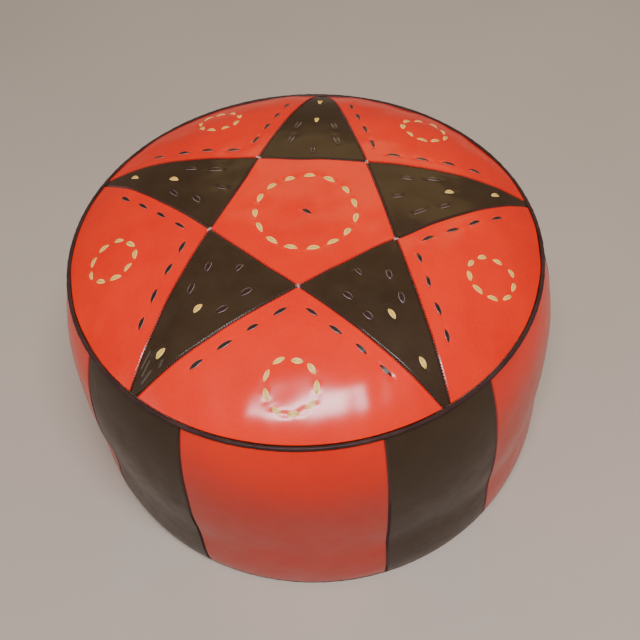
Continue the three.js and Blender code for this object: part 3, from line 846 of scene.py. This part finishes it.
# Each thong's third colour is painted shade in its middle; its last is a pale cut edge with a painted
# highlight.
gold_thong = thong_material("gold_thong", (1.0, 0.66, 0.12), (0.46, 0.22, 0.03), (1.0, 0.88, 0.40), 0.45)
brown_thong = thong_material("brown_thong", (0.040, 0.019, 0.015), (0.012, 0.006, 0.005),
                             (0.52, 0.38, 0.33), 0.3)


def plain_material(name, colour, rough, metal=0.0, scale=500.0, strength=0.2, spread=0.25):
    """One colour with a fine mottle in its tone and its surface."""
    material = bpy.data.materials.new(name)
    material.use_nodes = True
    tree = material.node_tree
    link = tree.links.new
    shader = tree.nodes["Principled BSDF"]
    place = add_node(tree, "ShaderNodeTexCoord", (-900, 0))
    mottle = add_node(tree, "ShaderNodeTexNoise", (-700, 0))
    set_inputs(mottle, Scale=scale, Detail=5.0)
    link(place.outputs["Object"], mottle.inputs["Vector"])
    blotch = ramp(tree, mottle.outputs["Fac"], 0.3, 0.7, (-500, 0))
    dark = tuple(value * (1 - spread) for value in colour)
    light = tuple(min(value * (1 + spread), 1) for value in colour)
    link(mixed(tree, blotch, dark, light, (-300, 100)), shader.inputs["Base Color"])
    raised = add_node(tree, "ShaderNodeBump", (-300, -250))
    set_inputs(raised, Strength=strength, Distance=0.2 * MM)
    link(mottle.outputs["Fac"], raised.inputs["Height"])
    link(raised.outputs["Normal"], shader.inputs["Normal"])
    shader.inputs["Roughness"].default_value = rough
    shader.inputs["Metallic"].default_value = metal
    return material


thread = plain_material("thread", (0.09, 0.036, 0.030), 0.75, scale=13.0, spread=0.92)
pale_thread = plain_material("pale_thread", (0.72, 0.58, 0.50), 0.6)
zip_tape = plain_material("zip_tape", (0.016, 0.013, 0.012), 0.85, scale=1500.0, strength=0.6)
zip_metal = plain_material("zip_metal", (0.52, 0.36, 0.15), 0.32, metal=1.0, scale=260.0, strength=0.05)
cotton = plain_material("cotton", (0.62, 0.55, 0.42), 0.9, scale=900.0, strength=0.5)
wadding = plain_material("wadding", (0.80, 0.76, 0.68), 1.0, scale=120.0, strength=0.8)
print("materials:", len(bpy.data.materials))


# %% Finishing a piece
def finish_piece(piece, material, slot, *replaced, ride_on=body):
    """Gives a piece its material, its body and the nodes that it stands for; slot is not used."""
    piece.data.materials.clear()
    piece.data.materials.append(material)
    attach(piece, ride_on)
    if replaced:
        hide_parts(*replaced)
    return piece


# %% [markdown]
# ## Panels
#
# Each panel could be a flat cut-out pressed onto the form. It is simpler to give every panel its
# own two parameters, across and along, that run exactly between its seams, and to read the shared
# surface there. Rows crowd towards the seams, where the leather rolls down. A Solidify modifier
# then gives the sheet its thickness inwards.

# %% Panel meshes
leather_thickness = 1.6 * MM


def seam_mask(distance):
    """1 in the seam, fading as a bell curve."""
    return np.exp(-(distance / (1.5 * MM)) ** 2)


def panel(name, points, masks, outward, material, slot, wrap=False):
    """A sheet from a grid of points; outward is a direction that its face must share."""
    rows, columns = points.shape[:2]
    quads = grid_quads(rows, columns, wrap_columns=wrap)
    flat = points.reshape(-1, 3)
    corners = flat[quads[len(quads) // 2]]
    facing = np.cross(corners[1] - corners[0], corners[3] - corners[0])
    if facing @ outward < 0:
        quads = quads[:, ::-1]
    mesh = faces_to_mesh(name + "_leather", flat, quads, masks)
    weld(mesh, drop=False, turn=False)
    piece = link_mesh(name + "_leather", mesh)
    wall = piece.modifiers.new("thickness", "SOLIDIFY")
    wall.thickness = leather_thickness
    wall.offset = -1
    finish_piece(piece, material, slot, name)
    return piece


def top_panel(name, x, y, material, slot, wrap=False):
    """A panel of the dome from its plan, with its seam and scuff masks."""
    points = on_top(x, y)
    masks = {"seam": seam_mask(top_seam_distance(x, y)), "scuff": scuff_mask(x, y)}
    return panel(name, points, masks, np.array([0, 0, 1.0]), material, slot, wrap)


def pentagon_plan(columns, rows):
    """Rings of a pentagon: the corner distance shrinks towards the middle of each side."""
    angle = np.arange(columns) * 2 * np.pi / columns
    from_middle = (angle + half_step) % (2 * half_step) - half_step
    reach = (apothem - seam_gap / 2) / np.cos(from_middle)
    share = crowd(rows, at_start=False)[:, None]
    turn = angle + point_angle(0)
    return share * reach * np.cos(turn), share * reach * np.sin(turn)


def star_plan(index, columns, rows):
    """Across the star point by along it, from the pentagon to the piping."""
    across = 2 * crowd(columns)[None, :] - 1
    start = apothem + seam_gap / 2
    end = np.sqrt(top_edge ** 2 - (across * star_tip_width / 2) ** 2)
    along = start + (end - start) * crowd(rows)[:, None]
    share = (along - apothem) / star_reach
    half = half_side + (star_tip_width / 2 - half_side) * share - seam_gap / 2 / math.cos(edge_lean)
    plan = turned(np.stack([along, across * half], axis=-1), point_angle(index))
    return plan[..., 0], plan[..., 1]


def outer_plan(index, columns, rows):
    """Fans out from a corner of the pentagon to the arc of rim between two star points."""
    near, far = turned(edge_near * [1, -1], half_step), turned(edge_far * [1, -1], half_step)
    direction = (far - near) / np.linalg.norm(far - near)
    reach = -near @ direction + math.sqrt((near @ direction) ** 2 + top_edge ** 2 - near @ near)
    meet = near + reach * direction
    half_angle = abs(math.atan2(meet[1], meet[0])) - seam_gap / 2 / top_edge / math.cos(edge_lean)
    angle = half_angle * (2 * crowd(columns)[None, :] - 1)
    rim = top_edge * np.stack([np.cos(angle), np.sin(angle)], axis=-1)
    apex = np.array([near[0] + seam_gap / 2 / abs(direction[1]), 0])
    share = crowd(rows, strength=0.6)[:, None, None]
    plan = turned(apex + (rim - apex) * share, point_angle(index) - half_step)
    return plan[..., 0], plan[..., 1]


top_panel("centre_pentagon", *pentagon_plan(200, 56), red_leather, "red_leather", wrap=True)
for index in range(star_points):
    top_panel(f"star_point_{index + 1}", *star_plan(index, 64, 96), dark_leather, "dark_leather")
    top_panel(f"outer_panel_{index + 1}", *outer_plan(index, 130, 90), red_leather, "red_leather")


# Painted shade: the side darkens from this height downwards, reaching full strength over this fade.
shade_from = 252 * MM
shade_fade = 100 * MM


def side_panel(name, middle_angle, width_angle, columns, material, slot):
    """Round the barrel by up it, between two upright seams and the two pipings."""
    half = width_angle / 2 - seam_gap / 2 / rim_radius
    angle = middle_angle + half * (2 * crowd(columns)[None, :] - 1)
    height = foot_height + (side_top - foot_height) * crowd(96, strength=0.7)[:, None]
    angle, height = angle + 0 * height, height + 0 * angle
    outward = np.array([math.cos(middle_angle), math.sin(middle_angle), 0])
    # The low mask is where shade is painted on the lower side.
    low = np.clip((shade_from - height) / shade_fade, 0, 1)
    masks = {"seam": seam_mask(side_seam_distance(angle)), "low": low * low * (3 - 2 * low)}
    return panel(name, on_side(angle, height), masks, outward, material, slot)


red_side_angle = 2 * half_step - dark_side_angle
for index in range(star_points):
    side_panel(f"side_panel_dark_{index + 1}", point_angle(index) + side_turn, dark_side_angle, 56,
               dark_leather, "dark_leather")
    side_panel(f"side_panel_red_{index + 1}", point_angle(index) + side_turn - half_step,
               red_side_angle, 80, red_leather, "red_leather")
print("panels done")

# %% [markdown]
# ## Piping
#
# A strip of leather folded round a cord and caught in the seam. It is a tube swept round the rim,
# with a slightly wandering radius, as leather wrapped on the bias creases. The lower one is half
# under the pouf, where the leather meets the floor.

# %% Piping
def piping(name, path_radius, path_height, radius, steps=720, sides=14):
    """A circle carried round a ring; small waves change its radius along the way."""
    angle = np.arange(steps) * 2 * np.pi / steps
    turn = np.arange(sides) * 2 * np.pi / sides
    pinch = 1 + 0.035 * np.sin(97 * angle) + 0.03 * np.sin(161 * angle + 1) + 0.02 * np.sin(31 * angle)
    swell_out = radius * pinch[:, None] * np.cos(turn)
    x = (path_radius + swell_out) * np.cos(angle)[:, None]
    y = (path_radius + swell_out) * np.sin(angle)[:, None]
    z = path_height + radius * pinch[:, None] * np.sin(turn)
    points = settle(np.stack([x, y, z], axis=-1)).reshape(-1, 3)
    mesh = faces_to_mesh(name + "_cord", points, grid_quads(steps, sides, True, True),
                         {"seam": np.zeros(len(points))})
    weld(mesh)
    return finish_piece(link_mesh(name + "_cord", mesh), piping_leather, "piping_leather", name)


piping("top_piping", rim_radius, rim_height, cord_share * top_piping_radius)
low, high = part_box("bottom_piping")
piping("bottom_piping", high.x - bottom_piping_radius, (low.z + high.z) / 2,
       cord_share * bottom_piping_radius)
print("pipings: rim and foot")

# %% [markdown]
# ## Thongs
#
# A thong is one flat strip that dives through a slit, runs under the leather and comes up at the
# next. Its section is a shallow trough whose edges curl up, and its width swells to a leaf shape
# on top, where the slit no longer squeezes it.

# %% Thong meshes
thong_thickness = 0.8 * MM
under_depth = 3.3 * MM
crest = 0.36 * MM
edge_curl = 0.07
half_stations = np.array([0.2, 0.4, 0.57, 0.72, 0.84, 0.93, 1.04, 1.16])
along_stations = np.concatenate([-half_stations[::-1], [0], half_stations])
section_turns = 14


def thong_path(row):
    """For each stitch: points along it, their lift off the leather and their width."""
    x, y, angle, length, width = (row[:, column:column + 1] for column in range(5))
    share = along_stations[None, :]
    reach = np.clip(np.abs(share), 0, 1)
    plan_x = x + np.cos(angle) * share * length / 2
    plan_y = y + np.sin(angle) * share * length / 2
    lift = crest * (1 - reach ** 2.6) - 0.25 * MM * reach ** 6
    lift = np.where(np.abs(share) > 1, -under_depth * (np.abs(share) > 1.1) - 1.4 * MM, lift)
    leaf = width * np.maximum((1 - reach ** 2) ** 0.8, 0.16)
    return plan_x, plan_y, lift + 0 * plan_x, leaf, angle + 0 * share


def thong(name, row, looped):
    """A flat section swept along the thong's path, closed on itself or capped at both ends."""
    plan_x, plan_y, lift, leaf, angle = (value.ravel() for value in thong_path(row))
    _, normal = dome(plan_x, plan_y)
    centre = on_top(plan_x, plan_y, lift)
    forward = np.stack([np.cos(angle), np.sin(angle), 0 * angle], axis=-1)
    side = unit(np.cross(normal, forward))
    if looped:
        tangent = unit(np.roll(centre, -1, axis=0) - np.roll(centre, 1, axis=0))
    else:
        tangent = unit(np.gradient(centre, axis=0))
    up = unit(np.cross(tangent, side))
    up *= np.where(np.sum(up * normal, axis=-1, keepdims=True) < -0.2, -1, 1)
    turn = np.arange(section_turns) * 2 * np.pi / section_turns
    across = np.sign(np.cos(turn)) * np.abs(np.cos(turn)) ** 0.7
    rise = 0.5 * thong_thickness * np.sin(turn)
    curl = edge_curl * leaf[:, None] * across ** 2
    points = (centre[:, None] + side[:, None] * (across * leaf[:, None] / 2)[..., None]
              + up[:, None] * (rise + curl - 0.4 * curl.mean(axis=1, keepdims=True))[..., None])
    count = len(centre)
    quads = grid_quads(count, section_turns, wrap_columns=True, wrap_rows=looped)
    masks = np.abs(across) * np.ones((count, 1))
    points, masks = points.reshape(-1, 3), masks.ravel()
    if not looped:
        ends = np.vstack([centre[:1], centre[-1:]])
        first = np.arange(section_turns)
        last = first + (count - 1) * section_turns
        tips = [len(points), len(points) + 1]
        points, masks = np.vstack([points, ends]), np.append(masks, [0, 0])
        mesh = cap_mesh(name, points, quads, masks, [(first, tips[0]), (last, tips[1])])
    else:
        mesh = faces_to_mesh(name + "_thong", points, quads, {"across": masks})
    weld(mesh)
    return link_mesh(name + "_thong", mesh)


def cap_mesh(name, points, quads, masks, caps):
    """The tube's quads and a fan of triangles over each open end."""
    faces = quads.tolist()
    for rim_loop, tip in caps:
        faces += fan(rim_loop, tip)
    mesh = bpy.data.meshes.new(name + "_thong")
    mesh.from_pydata(points.tolist(), [], faces)
    mesh.update()
    layer = mesh.attributes.new("across", "FLOAT", "POINT")
    layer.data.foreach_set("value", masks.astype(np.float32))
    mesh.polygons.foreach_set("use_smooth", np.ones(len(mesh.polygons), bool))
    return mesh


for name, (row, kind, looped) in lacing.items():
    material = gold_thong if kind == "gold" else brown_thong
    finish_piece(thong(name, row, looped), material, kind + "_thong", name)
print("thongs:", len(lacing))

# %% [markdown]
# ## Stitching
#
# The panels are joined by fine overcast stitches: short slanting bars of thread that cross the
# seam, a couple of millimetres apart. Each is a bent bar of four-sided section. The corners of the
# pentagon, where three seams meet, get a few longer stitches of pale thread.

# %% Stitch bars
stitch_pitch = 2.5 * MM
stitch_reach = 1.7 * MM
stitch_slant = 0.45 * MM
thread_radius = 0.34 * MM
corner_thread_radius = 0.38 * MM
corner_reach = 2.9 * MM
bar_shares = np.array([-1, -0.8, 0, 0.8, 1])
bar_lifts = np.array([-0.4, 0.16, 0.8, 0.16, -0.4]) * MM


def bars_mesh(name, paths, radius):
    """paths is stitches x stations x 3; every station gets four corners, every end a cap."""
    tangent = unit(np.gradient(paths, axis=1))
    outward = unit(paths.mean(axis=1, keepdims=True) - [0, 0, rim_height / 2]) + 0 * paths
    side = unit(np.cross(tangent, outward))
    lift = unit(np.cross(side, tangent))
    corners = np.stack([paths + side * radius, paths + lift * radius,
                        paths - side * radius, paths - lift * radius], axis=2)
    count, stations = paths.shape[:2]
    one = grid_quads(stations, 4, wrap_columns=True)
    one = np.vstack([one, [[3, 2, 1, 0]], [[4 * stations - 4, 4 * stations - 3,
                                            4 * stations - 2, 4 * stations - 1]]])
    quads = (one[None] + np.arange(count)[:, None, None] * stations * 4).reshape(-1, 4)
    mesh = faces_to_mesh(name, corners.reshape(-1, 3), quads)
    weld(mesh, join=False, drop=False)
    return link_mesh(name, mesh)


def top_stitches(start, end, reach=stitch_reach, slant=stitch_slant, pitch=stitch_pitch):
    """Bars across one straight seam: along it by their pitch, across it by their reach."""
    length = np.linalg.norm(end - start)
    direction = (end - start) / length
    across = np.array([-direction[1], direction[0]])
    along = np.arange(pitch, length - pitch, pitch)
    along = along + hand.normal(0, 0.15 * MM, len(along))
    plan = (start + along[:, None, None] * direction
            + bar_shares[None, :, None] * (across * reach + direction * slant))
    return on_top(plan[..., 0], plan[..., 1], bar_lifts)


def inside_rim(ends):
    """Cuts a seam off where the top leather meets the piping."""
    start, end = ends
    if np.linalg.norm(end) > top_edge:
        end = start + (end - start) * (top_edge - 2 * MM - np.linalg.norm(start)) / (
            np.linalg.norm(end) - np.linalg.norm(start))
    return start, end


star_paths = np.concatenate([top_stitches(*inside_rim(ends)) for ends in star_seams])
finish_piece(bars_mesh("star_stitching", star_paths, thread_radius), thread, "piping_leather")

heights = np.arange(foot_height + 3 * MM, side_top - 2 * MM, stitch_pitch)
side_angle = side_seams[:, None, None] + bar_shares * stitch_reach / rim_radius + 0 * heights[:, None]
side_heights = heights[:, None] + bar_shares * stitch_slant + 0 * side_angle
side_paths = on_side(side_angle, side_heights, bar_lifts).reshape(-1, len(bar_shares), 3)
finish_piece(bars_mesh("side_stitching", side_paths, thread_radius), thread, "piping_leather")

corner_paths = []
for index in range(star_points):
    corner = turned(np.array([pentagon_radius, 0]), point_angle(index) - half_step)
    for shift, spin in ((0.6 * MM, 0.5), (-0.9 * MM, 0.8)):
        angle = point_angle(index) - half_step + spin
        direction = np.array([math.cos(angle), math.sin(angle)])
        place = corner + shift * np.array([-direction[1], direction[0]])
        plan = place + bar_shares[:, None] * direction * corner_reach
        corner_paths.append(on_top(plan[:, 0], plan[:, 1], bar_lifts + 0.15 * MM))
finish_piece(bars_mesh("corner_stitching", np.array(corner_paths), corner_thread_radius), pale_thread,
             "piping_leather")
print("stitches of thread:", len(star_paths) + len(side_paths) + len(corner_paths))

# %% [markdown]
# ## Base, zip and filling
#
# The base panels, the tapes and the stops are right as they are and only need their finish. The
# rows of teeth were plain bars, so they get real teeth. Slider and pull are welded copies with
# their edges rounded. The bag and its filling are hidden, but they are real pieces too.

# %% Base and tapes
for name in ("base_panel_back", "base_panel_front"):
    nodes[name].data.materials.clear()
    nodes[name].data.materials.append(base_leather)
for name in ("zip_tape_back", "zip_tape_front"):
    nodes[name].data.materials.clear()
    nodes[name].data.materials.append(zip_tape)
print("new materials on the base panels and the tapes")

# %% Teeth
tooth_pitch = 3.1 * MM


def teeth(name, shift):
    """A row of stepped teeth on the tape's edge: a broad root and a narrower head."""
    low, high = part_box(name)
    inward = -1 if low.y > 0 else 1
    root, head = (high.y, low.y) if inward < 0 else (low.y, high.y)
    starts = np.arange(low.x + shift + 1.4 * MM, high.x - 1.2 * MM, tooth_pitch)
    waist = root + (head - root) * 0.45
    outline = np.array([[-0.85, root], [0.85, root], [0.85, waist], [0.5, waist + (head - waist) * 0.3],
                        [0.95, waist + (head - waist) * 0.7], [0.6, head], [-0.6, head],
                        [-0.95, waist + (head - waist) * 0.7], [-0.5, waist + (head - waist) * 0.3],
                        [-0.85, waist]])
    outline[:, 0] *= MM
    size = len(outline)
    points = np.empty((len(starts), 2, size, 3))
    points[..., 0] = starts[:, None, None] + outline[:, 0]
    points[..., 1] = outline[:, 1]
    points[..., 2] = np.array([low.z, high.z])[:, None]
    around = grid_quads(2, size, wrap_columns=True)
    first = np.arange(len(starts))[:, None] * 2 * size
    faces = (around[None] + first[..., None]).reshape(-1, 4).tolist()
    faces += (np.arange(size) + first).tolist() + (np.arange(size) + size + first).tolist()
    mesh = bpy.data.meshes.new(name + "_metal")
    mesh.from_pydata(points.reshape(-1, 3).tolist(), [], faces)
    weld(mesh)
    piece = link_mesh(name + "_metal", mesh)
    round_edges(piece, 0.18 * MM)
    return finish_piece(piece, zip_metal, "zip_metal", name)


def round_edges(piece, width, segments=2):
    """A live bevel on the sharp edges."""
    bevel = piece.modifiers.new("round_edges", "BEVEL")
    bevel.width = width
    bevel.segments = segments
    bevel.limit_method = "ANGLE"
    bevel.angle_limit = math.radians(35)


def rounded_copy(name, material, slot, width, ride_on):
    """A welded copy of a CAD node with its edges rounded."""
    mesh = nodes[name].data.copy()
    shell = bmesh.new()
    shell.from_mesh(mesh)
    bmesh.ops.remove_doubles(shell, verts=shell.verts, dist=1e-6)
    bmesh.ops.dissolve_limit(shell, angle_limit=math.radians(1), verts=shell.verts, edges=shell.edges)
    shell.to_mesh(mesh)
    shell.free()
    piece = link_mesh(name + "_metal", mesh)
    round_edges(piece, width)
    return finish_piece(piece, material, slot, name, ride_on=ride_on)


teeth("zip_teeth_back", 0)
teeth("zip_teeth_front", tooth_pitch / 2)
for name, ride_on in (("zip_bottom_stop", body), ("zip_top_stop", body),
                      ("zip_slider", "slider"), ("zip_pull", "pull")):
    rounded_copy(name, zip_metal, "zip_metal", 0.2 * MM, ride_on)
print("zip: teeth, stops, slider and pull")

# %% [markdown]
# ## Tabs
#
# A bought zip has a scrap of tape sewn across each end, past the stop. It keeps the two tapes
# together, and it hides the bag in the gap between them. Two thin flat boxes are enough for it.

# %% Tabs across the ends of the tapes
tab_gap = 0.2 * MM
tab_inset = 1 * MM
tab_overlap = 3 * MM
tab_lift = 0.05 * MM
tab_thickness = 0.5 * MM


def end_tabs():
    """A small patch of tape sewn across each end, over both tapes, so that the bag doesn't show."""
    tape_low, tape_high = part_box("zip_tape_back")
    stop_end = max(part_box("zip_top_stop")[1].x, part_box("zip_bottom_stop")[1].x)
    near, far = stop_end + tab_gap, tape_high.x - tab_inset
    half = tape_low.y + tab_overlap
    bottom = tape_high.z + tab_lift
    shell = bmesh.new()
    for end in (1, -1):
        spread = Matrix.Diagonal((far - near, 2 * half, tab_thickness, 1))
        place = Matrix.Translation((end * (near + far) / 2, 0, bottom + tab_thickness / 2))
        bmesh.ops.create_cube(shell, size=1, matrix=place @ spread)
    mesh = bpy.data.meshes.new("zip_end_tabs")
    shell.to_mesh(mesh)
    shell.free()
    piece = link_mesh("zip_end_tabs", mesh)
    round_edges(piece, 0.12 * MM)
    return finish_piece(piece, zip_tape, "zip_tape")


end_tabs()
print("end tabs: 2")

# %% [markdown]
# ## Lining and filling
#
# Under the leather lies a cotton bag packed with wadding, so both have the shape of the casing.
# Each is that casing drawn in by a depth, and the wadding is lumpy.

# %% Lining and filling
rim_corner = 13 * MM
inner_columns = 180


def inner_layer(name, depth, lumps, material, slot):
    """The casing's surface drawn in by a depth: over the dome, down the side, across the floor."""
    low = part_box(name)[0]
    turn = np.arange(inner_columns) * 2 * np.pi / inner_columns
    radii = np.linspace(0, rim_radius - rim_corner, 44)[:, None]
    x, y = radii * np.cos(turn), radii * np.sin(turn)
    uneven = lumps * np.sin(7 * turn + 38 * radii) * np.sin(60 * radii - 5 * turn)
    point, normal = dome(x, y)
    top = point - normal * (depth + np.abs(uneven))[..., None]
    heights = np.linspace(rim_height - rim_corner, low.z + foot_tuck, 40)[:, None]
    angle = turn + 0 * heights
    uneven = lumps * np.sin(6 * turn + 45 * heights) * np.sin(9 * turn - 30 * heights)
    point, normal = barrel(angle, heights + 0 * angle)
    sunk = depth + np.abs(uneven) - np.minimum(soft_folds(angle, heights), 0)
    side = point - normal * sunk[..., None]
    foot = np.linspace(0.97, 0, 24)[:, None] * side[-1, :, :2].reshape(1, -1)
    foot = foot.reshape(24, inner_columns, 2)
    floor_points = np.concatenate([foot, np.full((24, inner_columns, 1), low.z)], axis=-1)
    points = settle(np.concatenate([top, side, floor_points]))
    points[..., 2] = np.maximum(points[..., 2], low.z)
    quads = grid_quads(len(points), inner_columns, wrap_columns=True)
    mesh = faces_to_mesh(name + "_layer", points.reshape(-1, 3), quads)
    weld(mesh)
    return finish_piece(link_mesh(name + "_layer", mesh), material, slot, name)


inner_layer("lining_bag", 5.4 * MM, 0, cotton, "cotton_lining")
filling = inner_layer("stuffing", 6.6 * MM, 1.5 * MM, wadding, "stuffing")
print("inside: lining and filling")

# %% [markdown]
# ## Floor and light
#
# A plain pale floor, one broad soft light nearly overhead that lays a wide sheen on the front of
# the dome, a weaker fill from the left, and a warm pale surround.

# %% Stage
floor_half = 4.0
floor_mesh = bpy.data.meshes.new("floor")
floor_corners = [(-floor_half, -floor_half), (floor_half, -floor_half), (floor_half, floor_half),
                 (-floor_half, floor_half)]
floor_mesh.from_pydata([(x, y, -0.3 * MM) for x, y in floor_corners], [], [(0, 1, 2, 3)])
floor = link_mesh("floor", floor_mesh)
floor.data.materials.append(plain_material("floor_paint", (0.46, 0.40, 0.33), 0.6, scale=3.0,
                                           strength=0.02, spread=0.03))


def area_light(name, place, target, size, power, colour):
    """An oval soft box, given as its width and its height."""
    data = bpy.data.lights.new(name, "AREA")
    data.shape = "ELLIPSE"
    data.size, data.size_y = size
    data.energy = power
    data.color = colour
    light = bpy.data.objects.new(name, data)
    direction = Vector(target) - Vector(place)
    light.matrix_world = (Matrix.Translation(Vector(place))
                          @ direction.to_track_quat("-Z", "Y").to_matrix().to_4x4())
    bpy.context.scene.collection.objects.link(light)


crown = (0, 0, rim_height)
area_light("overhead", (0.25, -0.98, 2.6), crown, (1.6, 0.3), 84, (1.0, 0.95, 1.0))
area_light("left_fill", (-2.2, -1.2, 1.9), crown, (1.4, 1.0), 6, (1.0, 0.96, 0.92))
area_light("back_warm", (0.3, 2.0, 1.6), crown, (2.2, 0.9), 9, (1.0, 0.72, 0.3))
world = bpy.data.worlds.new("room")
world.use_nodes = True
world.node_tree.nodes["Background"].inputs["Color"].default_value = (1.0, 0.96, 0.9, 1)
world.node_tree.nodes["Background"].inputs["Strength"].default_value = 0.16
bpy.context.scene.world = world
print("lights: overhead, left fill, warm back")
